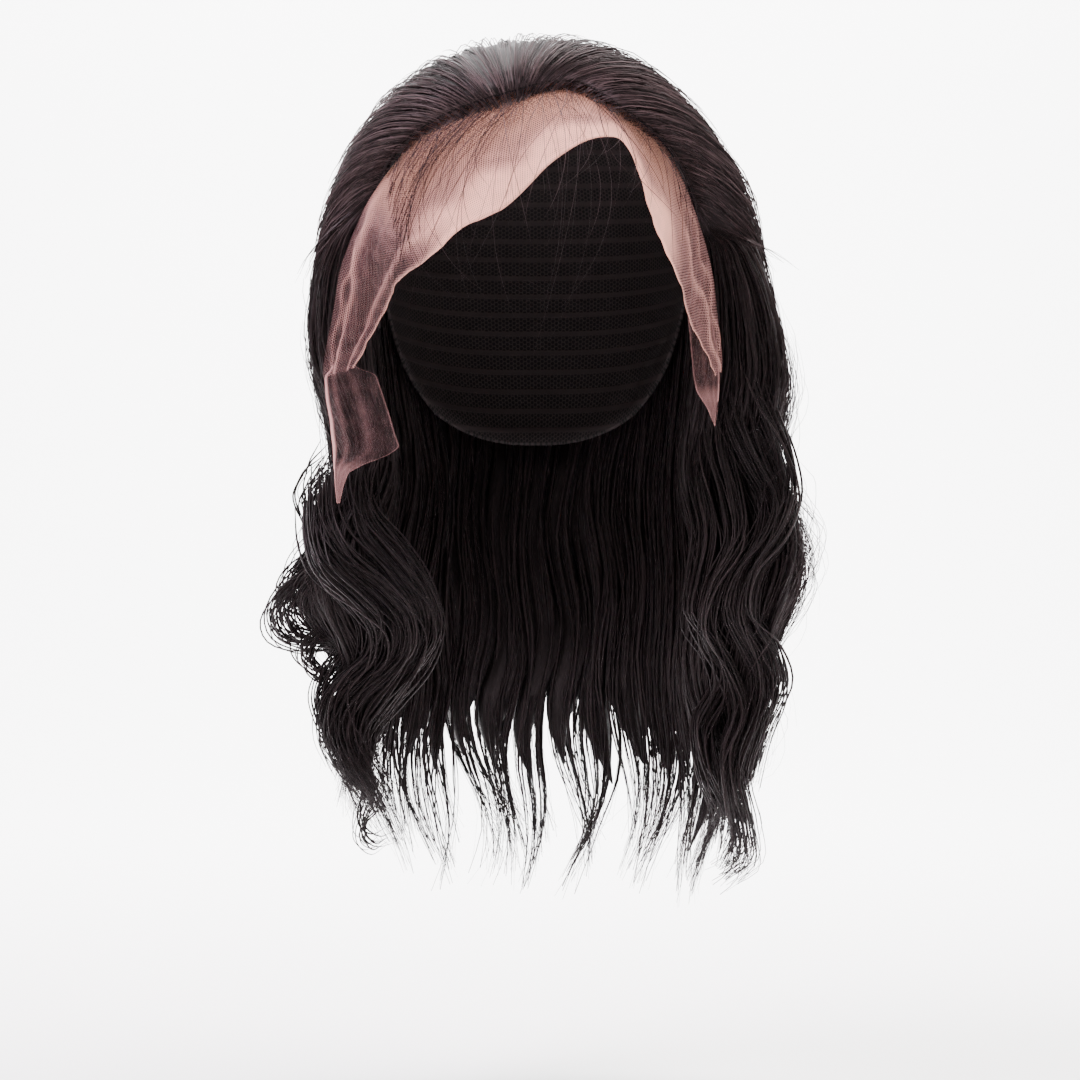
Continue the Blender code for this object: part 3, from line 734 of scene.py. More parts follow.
SECTIONS = (
    "hair_left_front", "hair_left_side", "hair_left_back", "hair_back",
    "hair_right_back", "hair_right_side", "hair_right_front",
)
CROWN_OVER = {0: "crown_left", 3: "crown_top", 6: "crown_right"}
for index, section in enumerate(SECTIONS):
    locks = range(index * 3, index * 3 + 3)
    mass = add_piece(section + "_mass", mass_mesh(section + "_mass", locks), MASS_HAIR_SHADED)
    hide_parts(section)
    if index in CROWN_OVER:
        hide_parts(CROWN_OVER[index])

# %% [markdown]
# ## Bundles of hair
# Hair doesn't hang as single fibres: it gathers in bundles a few millimetres wide that part and cross a
# little. Each bundle is a flat tube that is thin at the root, full at mid length and thin again at the tip.
# Most lie on the outside, some on the inside, where the open front shows them, and many along the two edges
# beside the opening.

# %% Where bundles lie, which way they face and how they taper
BUNDLES_OUTSIDE = 345
BUNDLES_INSIDE = 260
BUNDLES_EDGE = 100
EDGE_SHARE = (-0.006, 0.016)
EDGE_DEPTH = (0.03, 1.0)
TO_THE_EDGES = 0.28  # how far the outside's even spread is pushed towards the two front edges
OUTSIDE, INSIDE, LEFT_EDGE, RIGHT_EDGE = range(4)


def bundle_places():
    """Random share and depth of every bundle, and which kind it is."""
    even = rng.uniform(0, 1, BUNDLES_OUTSIDE)
    to_front = (1 - TO_THE_EDGES) * even + TO_THE_EDGES * (0.5 - 0.5 * np.cos(math.pi * even))
    outside = to_front, 1.02 - 0.20 * rng.uniform(0, 1, BUNDLES_OUTSIDE) ** 1.3
    inside = rng.uniform(0, 1, BUNDLES_INSIDE), rng.uniform(0.0, 0.12, BUNDLES_INSIDE)
    left = rng.uniform(*EDGE_SHARE, BUNDLES_EDGE), rng.uniform(*EDGE_DEPTH, BUNDLES_EDGE)
    right = 1 - rng.uniform(*EDGE_SHARE, BUNDLES_EDGE), rng.uniform(*EDGE_DEPTH, BUNDLES_EDGE)
    share, depth = np.concatenate([outside, inside, left, right], axis=1)
    kinds = [OUTSIDE, INSIDE, LEFT_EDGE, RIGHT_EDGE]
    return share, depth, np.repeat(kinds, [BUNDLES_OUTSIDE, BUNDLES_INSIDE, BUNDLES_EDGE, BUNDLES_EDGE])


def facing(path, kind):
    """Outward for bundles on the outside, inward on the inside, forward along the front edges."""
    level = unit(path * np.array([1, 1, 0]))
    over = unit(path - HEAD_CENTRE)
    above = eased((path[..., 2:] + 1.35 * HEAD_ABOVE) / (0.6 * HEAD_ABOVE))
    radial = unit(level + (over - level) * above)
    forward = np.broadcast_to(np.array([0.0, -1.0, 0.15]), path.shape)
    edge = (kind >= LEFT_EDGE)[:, None, None] * (1 - above)
    sign = np.where(kind == INSIDE, -1.0, 1.0)[:, None, None]
    return unit(radial * sign * (1 - edge) + forward * edge)


def lock_reach_at(share):
    return np.array(LOCK_REACH)[np.clip((share * LOCKS).astype(int), 0, LOCKS - 1)]


def taper(points, root, tip, count):
    """Widths along a strand as shares of its full width."""
    t = np.linspace(0, 1, points)
    shape = np.minimum(root + (1 - root) * eased(t / 0.16), tip + (1 - tip) * eased((1 - t) / 0.30))
    return np.broadcast_to(shape, (count, points))


def section_of(share):
    return (share * len(SECTIONS)).astype(int).clip(0, len(SECTIONS) - 1)


# %% Bundles and strands, section by section
STRANDS_PER_BUNDLE = 2  # on the outside; elsewhere one
BUNDLE_POINTS = 48
STRAND_POINTS = 46
share, depth, kind = bundle_places()
count = len(share)
phase_shift = rng.normal(0, 0.2, count)
wave_size = rng.uniform(0.8, 1.2, count)
reach = lock_reach_at(share) + rng.uniform(-0.08, 0.03, count)
path, _ = strand_paths(share, depth, reach, BUNDLE_POINTS, phase_shift, wave_size, frizz=0.5 * MM)
outward = facing(path, kind)
width = taper(BUNDLE_POINTS, 0.3, 0.12, count) * rng.uniform(1.6, 3.6, count)[:, None] * MM
roll = rng.normal(0, 0.3, (count, 1)) + 0.45 * np.sin(
    np.linspace(0, 9, BUNDLE_POINTS)[None, :] + rng.uniform(0, 6, (count, 1))
)
tint = rng.uniform(0.03, 0.2, count)

bundle_of = np.repeat(np.arange(count), np.where(kind > OUTSIDE, 1, STRANDS_PER_BUNDLE))
count = len(bundle_of)
strand_share = share[bundle_of] + rng.normal(0, 0.005, count)
strand_depth = depth[bundle_of] + rng.uniform(-0.02, 0.07, count)
strand_kind = kind[bundle_of]
strand_phase = phase_shift[bundle_of] + rng.normal(0, 0.25, count)
strand_wave = wave_size[bundle_of] * rng.uniform(0.8, 1.25, count)
strand_reach = lock_reach_at(strand_share) + rng.uniform(-0.12, 0.03, count)
strand_path, _ = strand_paths(
    strand_share, strand_depth, strand_reach, STRAND_POINTS, strand_phase, strand_wave, frizz=0.9 * MM
)
strand_width = taper(STRAND_POINTS, 0.6, 0.3, count) * (rng.uniform(0.35, 0.8, count)[:, None] * MM)
strand_tint = rng.uniform(0.04, 0.36, count)
for index, section in enumerate(SECTIONS):
    mine = section_of(share) == index
    mesh = strands_mesh(
        section + "_bundles", path[mine], outward[mine], width[mine], 0.4, 4, tint[mine], roll[mine]
    )
    add_piece(section + "_bundles", mesh, LOCK_HAIR)
    mine = section_of(strand_share) == index
    mesh = strands_mesh(
        section + "_strands", strand_path[mine], facing(strand_path[mine], strand_kind[mine]),
        strand_width[mine], 0.8, 3, strand_tint[mine],
    )
    add_piece(section + "_strands", mesh, FINE_HAIR)

# %% [markdown]
# ## Loose curls on the left
# Below the left ear tab the hair breaks out of its outline in open curls. Each is a spray of single
# strands that leave the hair, bow out and come back, so one middle line and a random offset for each
# strand make it.

# %% Sprays of strands round a middle line
def curve_through(knots, points):
    """A smooth curve through these knots at even steps of their chord length."""
    knots = np.array(knots, float)
    chords = np.concatenate([[0], np.linalg.norm(np.diff(knots, axis=0), axis=1).cumsum()])
    at = np.linspace(0, chords[-1], points)
    return np.stack([smooth(chords, knots[:, axis], at) for axis in range(3)], -1)


def spray(middle, count, spread, source):
    """Copies of a curve that spread apart along it, each bowed a little more or less than the curve."""
    t = np.linspace(0, 1, len(middle))
    chord = middle[:1] + (middle[-1:] - middle[:1]) * t[:, None]
    bow = source.normal(1.0, 0.13, (count, 1, 1))
    paths = chord + (middle - chord) * bow
    ends = source.normal(0, 1, (count, 2, 3)) * spread
    offset = ends[:, :1] * (1 - t)[None, :, None] + ends[:, 1:] * t[None, :, None]
    return paths + offset + frizz_of(count, t[None, :] * 60 * MM, np.full(count, 0.5 * MM), source)


def add_hairs(name, paths, kind, ends, thickness, flatness, tints):
    """One piece of single hairs: their widths at root and tip, and the ranges of thickness and tint."""
    count, points, _ = paths.shape
    width = taper(points, *ends, count) * rng.uniform(*thickness, count)[:, None] * MM
    tint = rng.uniform(*tints, count)
    mesh = strands_mesh(name, paths, facing(paths, np.full(count, kind)), width, flatness, 3, tint)
    return add_piece(name, mesh, FINE_HAIR)


def add_sprays(name, middles, counts, points, spread, thickness):
    """One piece of the strands round these middle lines, whose knots are in millimetres."""
    paths = [
        spray(curve_through(np.array(knots) * MM, points), count, spread, rng)
        for knots, count in zip(middles, counts)
    ]
    return add_hairs(name, np.concatenate(paths), LEFT_EDGE, (0.5, 0.3), thickness, 0.7, (0.02, 0.22))


# %% Curls that leave the left side
CURL_MIDDLES = (
    ((-99, -20, -232), (-108, -22, -240), (-118, -22, -251), (-121, -18, -263), (-117, -12, -272),
     (-103, -8, -278)),
    ((-104, -20, -244), (-116, -26, -255), (-124, -24, -264), (-128, -18, -274), (-124, -10, -284),
     (-114, -8, -288), (-100, -12, -288), (-88, -18, -291)),
    ((-90, -26, -247), (-102, -32, -252), (-112, -30, -260), (-115, -22, -270), (-109, -14, -281),
     (-96, -14, -290)),
    ((-104, -14, -282), (-113, -16, -289), (-115, -16, -296), (-109, -14, -303), (-96, -14, -309)),
    ((-94, -14, -293), (-104, -18, -304), (-108, -18, -317), (-106, -14, -330), (-100, -10, -342),
     (-90, -10, -354)),
    ((-102, -14, -196), (-111, -20, -208), (-115, -22, -218), (-112, -18, -228), (-102, -14, -238)),
    ((-98, -12, -318), (-103, -16, -328), (-103, -16, -338), (-97, -12, -348), (-90, -12, -357)),
    ((-82, -12, -368), (-87, -16, -377), (-87, -18, -385), (-82, -16, -390), (-77, -14, -388)),
)
CURL_STRANDS = (34, 46, 34, 26, 34, 22, 22, 14)
CURL_POINTS = 22
CURL_SPREAD = 3.4 * MM
add_sprays("curls_left", CURL_MIDDLES, CURL_STRANDS, CURL_POINTS, CURL_SPREAD, (0.4, 1.1))

# %% [markdown]
# ## Locks that sweep across the front
# On both sides a few locks cross the others in a wide S beside the opening. They are sprays as well,
# with more strands and a longer middle line. The line follows the waves of the hair underneath and
# stays 5 to 7 mm in front of it, so that the lock lies on the hair.

# %% Sweeping locks
SWEEP_LEFT = (
    ((-89, -22, -196), (-91, -22, -214), (-87, -29, -232), (-73, -34, -250), (-60, -30, -268),
     (-59, -22, -286), (-70, -18, -300), (-84, -19, -310), (-93, -20, -322), (-94, -25, -338),
     (-86, -28, -354), (-78, -24, -366)),
    ((-104, -21, -206), (-103, -29, -228), (-93, -40, -247), (-76, -37, -262), (-66, -30, -276),
     (-66, -22, -292), (-77, -19, -306), (-90, -19, -318), (-98, -23, -332), (-94, -28, -348),
     (-86, -26, -360)),
    ((-80, -23, -184), (-85, -20, -204), (-81, -24, -226), (-68, -28, -244), (-58, -28, -262),
     (-54, -22, -280), (-60, -18, -298), (-72, -17, -314), (-84, -20, -330), (-86, -26, -346),
     (-80, -25, -360)),
    ((-111, -21, -216), (-110, -32, -236), (-104, -44, -252), (-90, -42, -266), (-80, -32, -280),
     (-82, -23, -296), (-94, -20, -308), (-101, -20, -320), (-101, -24, -336), (-94, -27, -350)),
)
SWEEP_LEFT_STRANDS = (60, 60, 44, 44)
SWEEP_RIGHT = (
    ((100, -18, -150), (99, -29, -176), (108, -27, -198), (116, -28, -214), (112, -38, -236),
     (100, -43, -256), (97, -39, -272), (104, -31, -288), (111, -24, -304), (108, -24, -326),
     (99, -31, -352), (104, -22, -378), (105, -12, -398), (96, -6, -406)),
    ((84, -20, -184), (82, -21, -208), (86, -29, -232), (82, -37, -256), (80, -34, -272),
     (90, -27, -290), (93, -21, -310), (84, -20, -330), (86, -27, -350), (94, -18, -370),
     (92, -10, -388)),
    ((108, -24, -144), (113, -35, -170), (122, -29, -192), (126, -26, -212), (120, -38, -234),
     (108, -45, -254), (106, -41, -272), (116, -31, -290), (120, -23, -308), (112, -25, -330),
     (106, -29, -352)),
    ((92, -16, -164), (90, -24, -192), (96, -25, -216), (98, -36, -240), (88, -39, -262),
     (86, -31, -282), (96, -22, -302), (102, -22, -322), (96, -28, -344), (98, -26, -366),
     (102, -14, -386), (98, -8, -398)),
)
SWEEP_RIGHT_STRANDS = (56, 44, 44, 50)
SWEEP_POINTS = 44
SWEEP_SPREAD = 4.2 * MM
SWEEP_THICKNESS = (0.6, 1.6)
for side, middles, counts in (
    ("left", SWEEP_LEFT, SWEEP_LEFT_STRANDS), ("right", SWEEP_RIGHT, SWEEP_RIGHT_STRANDS)
):
    add_sprays("sweeping_locks_" + side, middles, counts, SWEEP_POINTS, SWEEP_SPREAD, SWEEP_THICKNESS)

# %% [markdown]
# ## Frizz
# Stray hairs leave the outline all round, most of all on the right. They are strands like the others, but
# thinner, a little farther out, with a wave and a wiggle of their own, and they start part of the way down.

# %% Frizz and stray strands
FRIZZ_RIGHT = 150
FRIZZ_LEFT = 50
FRIZZ_AROUND = 100
FRIZZ_POINTS = 30
HAIR_TINTS = (0.0, 0.4)
right = 1 - rng.uniform(-0.01, 0.2, FRIZZ_RIGHT)
left = rng.uniform(-0.01, 0.16, FRIZZ_LEFT)
frizz_share = np.concatenate([right, left, rng.uniform(0.1, 0.9, FRIZZ_AROUND)])
count = len(frizz_share)
frizz_depth = 0.96 + 0.22 * rng.uniform(0, 1, count) ** 2
frizz_reach = lock_reach_at(frizz_share) * rng.uniform(0.55, 1.0, count)
frizz_path, _ = strand_paths(
    frizz_share, frizz_depth, frizz_reach, FRIZZ_POINTS, rng.normal(0, 0.7, count),
    rng.uniform(0.9, 1.7, count), begin=rng.uniform(0.3, 0.5, count), frizz=1.6 * MM, gather=0.5,
)
add_hairs("frizz", frizz_path, OUTSIDE, (0.3, 0.3), (0.2, 0.4), 1.0, HAIR_TINTS)

# %% [markdown]
# ## The soft hairline and the baby hairs
# Fine short hairs are knotted into the lace in front of the hairline. Some follow the hair back, so
# that the hairline isn't a hard edge. They are more and longer at its two ends, where it comes down the
# sides. Others, the baby hairs, fall forwards over the lace.

# %% Roots in front of the hairline
HAIRLINE_HAIRS = 700
HAIRLINE_POINTS = 9
HAIRLINE_AHEAD = 0.055  # how far ahead of the line a root may be, as a share of the way over the crown
HAIRLINE_SINK = 3.0 * MM  # how far the hair sinks into the lace there
END_SHARE = 0.17  # the share of the hairline at either end where its hairs get longer
END_RUN = 0.10
count = HAIRLINE_HAIRS
line_share = rng.uniform(0.0, 1.0, count)
line_share = 0.45 * line_share + 0.55 * (0.5 - 0.5 * np.cos(math.pi * line_share))
at_end = eased((END_SHARE - np.minimum(line_share, 1 - line_share)) / END_RUN)
line_length = rng.uniform(0.10, 0.22, count) * (1 + 2.2 * at_end)
ahead = -rng.uniform(0.0, 1.0, count) ** 1.5 * HAIRLINE_AHEAD
at = ahead[:, None] + (line_length - ahead)[:, None] * np.linspace(0, 1, HAIRLINE_POINTS)[None, :] * 2.2
line_path = crown_place(
    np.broadcast_to(line_share[:, None], at.shape), at,
    np.broadcast_to(rng.uniform(0.75, 1.12, count)[:, None], at.shape),
)
below = eased(-at / HAIRLINE_AHEAD)[..., None] * unit(line_path - HEAD_CENTRE) * HAIRLINE_SINK
line_path = line_path - below + frizz_of(count, at * 0.15, np.full(count, 0.35 * MM), rng)
add_hairs("hairline_hairs", line_path, OUTSIDE, (0.6, 0.3), (0.3, 0.7), 1.0, HAIR_TINTS)

# %% The lace's stations
# From the left end of the lace to the right one: turns are in degrees from the front, drops are shares of
# HEAD_ABOVE, lifts of TEMPLE_LIFT and the tuck of LACE_TUCK.
LACE_COLUMNS = ("hair_turn", "hair_drop", "hair_lift", "tuck", "cut_turn", "cut_drop", "cut_lift")
LACE_STATIONS = (
    (-72.0, 1.710, 1.00, 0.0, -61.3, 1.665, 0.60),
    (-71.5, 1.505, 0.80, 0.0, -60.7, 1.540, 0.35),
    (-70.1, 1.320, 0.68, 0.0, -59.0, 1.415, 0.08),
    (-68.5, 1.160, 0.57, 0.0, -52.2, 1.310, 0.00),
    (-67.0, 1.000, 0.44, 0.0, -46.0, 1.225, 0.00),
    (-65.0, 0.860, 0.31, 0.0, -35.0, 1.155, 0.00),
    (-61.5, 0.720, 0.16, 0.0, -27.0, 1.075, 0.00),
    (-53.0, 0.590, 0.00, 0.5, -20.0, 0.975, 0.00),
    (-43.0, 0.490, 0.00, 1.0, -13.3, 0.925, 0.00),
    (-33.0, 0.400, 0.00, 1.0, -7.6, 0.870, 0.00),
    (-21.5, 0.340, 0.00, 1.0, -1.8, 0.765, 0.00),
    (-10.0, 0.290, 0.00, 1.0, 4.0, 0.650, 0.00),
    (3.0, 0.225, 0.00, 1.0, 12.5, 0.540, 0.00),
    (15.5, 0.215, 0.00, 1.0, 20.5, 0.490, 0.00),
    (25.5, 0.285, 0.00, 1.0, 27.5, 0.505, 0.00),
    (35.0, 0.410, 0.00, 1.0, 31.0, 0.650, 0.00),
    (45.0, 0.520, 0.00, 1.0, 33.5, 0.830, 0.00),
    (54.0, 0.630, 0.00, 1.0, 37.5, 0.980, 0.00),
    (61.0, 0.765, 0.05, 0.3, 44.0, 1.115, 0.00),
    (65.0, 0.950, 0.18, 0.0, 52.0, 1.250, 0.02),
    (66.9, 1.145, 0.30, 0.0, 57.6, 1.395, 0.08),
    (68.1, 1.345, 0.41, 0.0, 61.1, 1.520, 0.25),
    (69.0, 1.530, 0.52, 0.0, 64.9, 1.627, 0.44),
    (69.0, 1.660, 0.60, 0.0, 67.3, 1.700, 0.56),
)


def lace_value(name, station):
    table = np.array(LACE_STATIONS, float)
    return smooth(np.arange(len(table)), table[:, LACE_COLUMNS.index(name)], station)


print("the lace has", len(LACE_STATIONS), "stations")

# %% Baby hairs over the lace
BABY_POINTS = 20
BABY_STAND = 2.6  # how far off the form they lie, in millimetres
# Each row is a group: the station of its roots, the turn and drop of its ends, its bow and how many hairs.
BABY_HAIRS = (
    (6.6, -66, 1.42, 2, 3),
    (7.4, -62, 1.45, -4, 5),
    (8.2, -57, 1.45, -6, 7),
    (8.9, -54, 1.42, 6, 9),
    (9.4, -50, 1.42, -8, 12),
    (10.0, -45, 1.40, -10, 14),
    (10.6, -37, 1.38, -12, 14),
    (11.2, -25, 1.30, -10, 11),
    (11.8, -8, 1.20, -6, 9),
    (12.3, 3, 1.50, 5, 12),
    (13.0, 14, 0.85, 5, 6),
    (13.8, 28, 1.00, 4, 8),
    (14.8, 40, 0.95, 4, 8),
    (16.4, 52, 1.10, 5, 9),
)


def baby_paths():
    paths = []
    t = np.linspace(0, 1, BABY_POINTS)
    for station, end_turn, end_drop, bow, count in BABY_HAIRS:
        for _ in range(count):
            root = station + rng.normal(0, 0.6)
            start_turn = lace_value("hair_turn", root)
            start_drop = lace_value("hair_drop", root) - 0.03 + rng.uniform(0, 0.06)
            size = rng.uniform(0.35, 1.1)
            turn = start_turn + (end_turn - start_turn + rng.normal(0, 7)) * size * t
            turn = turn + (bow + rng.normal(0, 8)) * 4 * t * (1 - t) * size
            drop = start_drop + (end_drop - start_drop) * size * t ** 0.9
            stand = (BABY_STAND + 0.6 * t + rng.uniform(0, 5) * t * (1 - t)) * MM
            paths.append(on_head(np.radians(turn), drop * HEAD_ABOVE, stand, 0.0))
    return np.array(paths)


add_hairs("baby_hairs", baby_paths(), OUTSIDE, (1.0, 0.25), (0.16, 0.32), 1.0, HAIR_TINTS)

# %% [markdown]
# ## Net as a material
# Lace and stretch net are both a net of fine thread with six-sided holes. Three cosines, a third of a turn
# apart, add up to a honeycomb of peaks, and wherever the sum is high there is a hole, cut with alpha. How
# close the threads lie is stored on the mesh, since the lace looks paler along its cut edge and where it
# creases. A second value on the mesh says where hairs are knotted in, and the net is tan and specked there.

# %% A node group for nets
NET_LATTICE = 1.155  # 2 divided by the square root of 3: waves this close make holes one cell apart
NET_CLOSING = 3.2  # how much of the honeycomb's height the closeness can fill
NET_MOTTLE = 0.025
KNOT_TAN = (0.43, 0.20, 0.135, 1)
KNOT_DARK = (0.06, 0.025, 0.018, 1)


def honeycomb(group, uv, cells):
    """The sum of three waves whose peaks lie on a six-sided lattice."""
    waves = None
    for third in range(3):
        turn = third * math.tau / 3
        along = (math.cos(turn), math.sin(turn), 0)
        dot = add_node(group, "ShaderNodeVectorMath", {0: uv, 1: along}, operation="DOT_PRODUCT")
        pitch = math_node(group, "MULTIPLY", dot.outputs["Value"], cells)
        wave = math_node(group, "COSINE", math_node(group, "MULTIPLY", pitch, math.tau * NET_LATTICE))
        waves = wave if waves is None else math_node(group, "ADD", waves, wave)
    return waves


def flat_noise(group, uv, scale, detail):
    values = {"Vector": uv, "Scale": scale, "Detail": detail}
    return add_node(group, "ShaderNodeTexNoise", values, noise_dimensions="2D").outputs["Fac"]


def knotted_colour(group, uv, colour):
    """The net's colour with tan where hairs are knotted in, and dark specks where they are closest."""
    knots = add_node(group, "ShaderNodeAttribute", attribute_name="cloth_knots").outputs["Fac"]
    tanned = mix_colours(group, math_node(group, "MULTIPLY", knots, 0.92), colour, KNOT_TAN)
    speck = math_node(group, "SUBTRACT", flat_noise(group, uv, 1.1, 1.0), 0.42)
    speck = math_node(group, "MULTIPLY", speck, 7.0, clamp=True)
    speck = math_node(group, "MULTIPLY", speck, math_node(group, "POWER", knots, 4.0))
    return mix_colours(group, math_node(group, "MULTIPLY", speck, 0.75), tanned, KNOT_DARK)


def net_group():
    """Cover is 1 on the threads and 0 in the holes, which shrink where the cloth is dense."""
    group, entry, leave = new_group(
        "thread_net",
        [
            ("Cells per mm", "NodeSocketFloat", 0.9),
            ("Hole", "NodeSocketFloat", 0.0),
            ("Sheer", "NodeSocketColor", (0.5, 0.3, 0.27, 1)),
            ("Dense", "NodeSocketColor", (0.8, 0.6, 0.56, 1)),
        ],
        [("Cover", "NodeSocketFloat"), ("Relief", "NodeSocketFloat"), ("Colour", "NodeSocketColor")],
    )
    uv = add_node(group, "ShaderNodeUVMap", uv_map="cloth_mm").outputs["UV"]
    dense = add_node(group, "ShaderNodeAttribute", attribute_name="cloth_density").outputs["Fac"]
    mottle = remap(group, flat_noise(group, uv, 0.16, 3.0), 0.35, 0.65, -NET_MOTTLE, NET_MOTTLE)
    close = math_node(group, "ADD", dense, mottle, clamp=True)
    waves = honeycomb(group, uv, entry.outputs["Cells per mm"])
    limit = math_node(group, "MULTIPLY_ADD", close, NET_CLOSING, entry.outputs["Hole"])
    cover = remap(group, math_node(group, "SUBTRACT", limit, waves), -0.25, 0.25)
    close = math_node(group, "POWER", close, 1.5)
    colour = mix_colours(group, close, entry.outputs["Sheer"], entry.outputs["Dense"])
    group.links.new(cover, leave.inputs["Cover"])
    group.links.new(remap(group, waves, -1.5, 3.0, 1.0, 0.0), leave.inputs["Relief"])
    group.links.new(knotted_colour(group, uv, colour), leave.inputs["Colour"])
    return group


NET = net_group()
print("thread_net:", len(NET.nodes), "nodes")

# %% The two lace materials
def net_material(name, sheer, dense, cells, hole):
    material, tree, shader = new_material(name, Roughness=0.75, Specular_IOR_Level=0.2, Sheen_Weight=0.05)
    net = {"Cells per mm": cells, "Hole": hole, "Sheer": (*sheer, 1), "Dense": (*dense, 1)}
    net = add_node(tree, "ShaderNodeGroup", net, node_tree=NET)
    tree.links.new(net.outputs["Colour"], shader.inputs["Base Color"])
    tree.links.new(net.outputs["Cover"], shader.inputs["Alpha"])
    add_relief(tree, shader, net.outputs["Relief"], 0.5, 0.2 * MM)
    print("lace material:", name, "with", cells, "cells a millimetre")
    return material


LACE = net_material("sheer_lace", (0.225, 0.115, 0.113), (1.0, 0.49, 0.38), 0.85, -1.4)
TAB_LACE = net_material("tab_lace", (0.070, 0.035, 0.036), (0.68, 0.34, 0.315), 1.6, -1.5)

# %% [markdown]
# ## The front lace
# The lace is one sheet that hugs the cap's form in the middle and hangs loose at both ends. A flat grid
# is added with the primitive tool, each of its points is carried to its place between the hairline and
# the cut edge, and Solidify gives it a thickness. Creases are raised a little off the sheet where the
# lace was folded.

# %% Where the lace lies and where it creases
LACE_TUCK = 10 * MM
TEMPLE_LIFT = 35 * MM
LACE_CLEAR = 0.5 * MM
LACE_RIPPLE = 1.2 * MM
LACE_RIPPLES_ACROSS = 2.5
CREASE_HEIGHT = 1.1 * MM
CRUMPLE = 0.25 * MM
EDGE_CURL = 0.9 * MM
LAST_STATION = len(LACE_STATIONS) - 1
# Each crease: the stretch of lace it is on, its strength, its place across the lace, how far that place
# slants with each station, how far it wanders, how fast and from where, and the crease's width.
LACE_CREASES = (
    ("left", 1.0, 0.42, -0.05, 0.03, 3.0, 0, 0.045),
    ("left", 0.8, 0.80, 0.0, 0.05, 2.1, 0, 0.04),
    ("left", 0.6, 0.18, 0.0, 0.04, 3.7, 1, 0.03),
    ("right", 1.0, 0.55, 0.0, 0.10, 2.7, 0, 0.06),
    ("right", 0.7, 0.22, 0.0, 0.08, 3.9, 2, 0.05),
    ("top", 0.35, 0.66, 0.0, 0.08, 1.9, 0, 0.03),
    ("top", 0.25, 0.45, 0.0, 0.10, 2.9, 2, 0.03),
)


def ridge(value, middle, width):
    return np.exp(-(((value - middle) / width) ** 2))


def lace_creases(station, across):
    """How strongly the lace is creased at a place, from 0 to 1."""
    stretches = {
        "left": eased((7 - station) / 1.5),
        "right": eased((station - 17.5) / 1.0),
        "top": eased((station - 8) / 2) * eased((17.5 - station) / 1.5),
    }
    fold = 0
    for stretch, strength, middle, slant, wanders, pace, start, width in LACE_CREASES:
        middle = middle + slant * station + wanders * np.sin(station * pace + start)
        fold = fold + strength * stretches[stretch] * ridge(across, middle, width)
    return fold


def lace_place(station, across, clearance):
    """A place on the lace, from its tucked edge (across 0) to its cut edge (1)."""
    turn = np.radians(lace_value("hair_turn", station))
    drop = lace_value("hair_drop", station) * HEAD_ABOVE
    lift = np.maximum(lace_value("hair_lift", station), 0) * TEMPLE_LIFT
    tuck = np.clip(lace_value("tuck", station), 0, 1) * LACE_TUCK
    root = on_head(turn, drop, 0, 0) - HEAD_CENTRE
    polar = np.arccos(root[..., 2] / np.linalg.norm(root, axis=-1)) - tuck / HEAD_ABOVE
    direction = np.stack(
        [np.sin(polar) * np.sin(turn), -np.sin(polar) * np.cos(turn), np.cos(polar)], -1
    )
    tucked = HEAD_ABOVE - form_reach(direction, 0) * direction[..., 2]
    drop = np.where(tuck > 0.4 * MM, tucked, drop)
    cut_lift = np.maximum(lace_value("cut_lift", station), 0) * TEMPLE_LIFT
    looseness = np.clip(lift / TEMPLE_LIFT, 0, 1)
    turn = turn + (np.radians(lace_value("cut_turn", station)) - turn) * across
    drop = drop + (lace_value("cut_drop", station) * HEAD_ABOVE - drop) * across
    lift = lift + (cut_lift - lift) * across
    ripple = math.tau * LACE_RIPPLES_ACROSS * across + 0.8 * np.sin(station * 2.3)
    ripple = LACE_RIPPLE * looseness * np.sin(ripple)
    shown = eased(across / 0.2)
    crumple = CRUMPLE * np.sin(station * 9 + 4 * across) * np.sin(across * 17 + 2 * np.sin(station * 4))
    edge = EDGE_CURL * eased((across - 0.93) / 0.07) * (0.6 + 0.4 * np.sin(station * 7))
    off = shown * (CREASE_HEIGHT * lace_creases(station, across) + np.abs(crumple) + edge)
    return on_head(turn, drop, clearance, np.maximum(lift + ripple, 0) + off)


def lace_density(station, across):
    """How close the lace's threads look, from 0 where it is sheer to 1 along creases and the cut edge."""
    top = eased((station - 4.5) / 3) * eased((19 - station) / 2)
    band = eased((across - 0.62 + 0.06 * np.sin(station * 2.3)) / 0.2) * top
    rim = eased((across - 0.955) / 0.03)
    right = eased((station - 17) / 1.5)
    sheer = 0.06 + 0.38 * top + 0.11 * right
    return np.clip(sheer + 0.5 * band + 0.6 * rim + 0.3 * lace_creases(station, across), 0, 1)


def lace_knots(station, across):
    """Where hairs are knotted into the lace: close to the hairline, and not at its two ends."""
    return eased((0.86 - across) / 0.56) * eased((station - 5) / 2.5) * eased((18.5 - station) / 3)


reaches = [lace_place(np.array([12.0]), np.array([edge]), LACE_CLEAR)[0] for edge in (0.0, 1.0)]
print(f"the lace is {np.linalg.norm(reaches[1] - reaches[0]) / MM:.0f} mm wide at station 12")

# %% A sheet from a grid
LACE_THICKNESS = 0.25 * MM


def real_lengths(points, rows):
    """How far each point of a grid is from its row's and its middle column's start, in millimetres."""
    grid = points.reshape(rows, -1, 3) / MM
    across = np.linalg.norm(np.diff(grid, axis=1), axis=-1).cumsum(axis=1)
    across = np.concatenate([np.zeros((rows, 1)), across], axis=1)
    middle = grid[:, grid.shape[1] // 2]
    along = np.concatenate([[0], np.linalg.norm(np.diff(middle, axis=0), axis=-1).cumsum()])
    return np.stack([across, np.broadcast_to(along[:, None], across.shape)], -1).reshape(-1, 2)


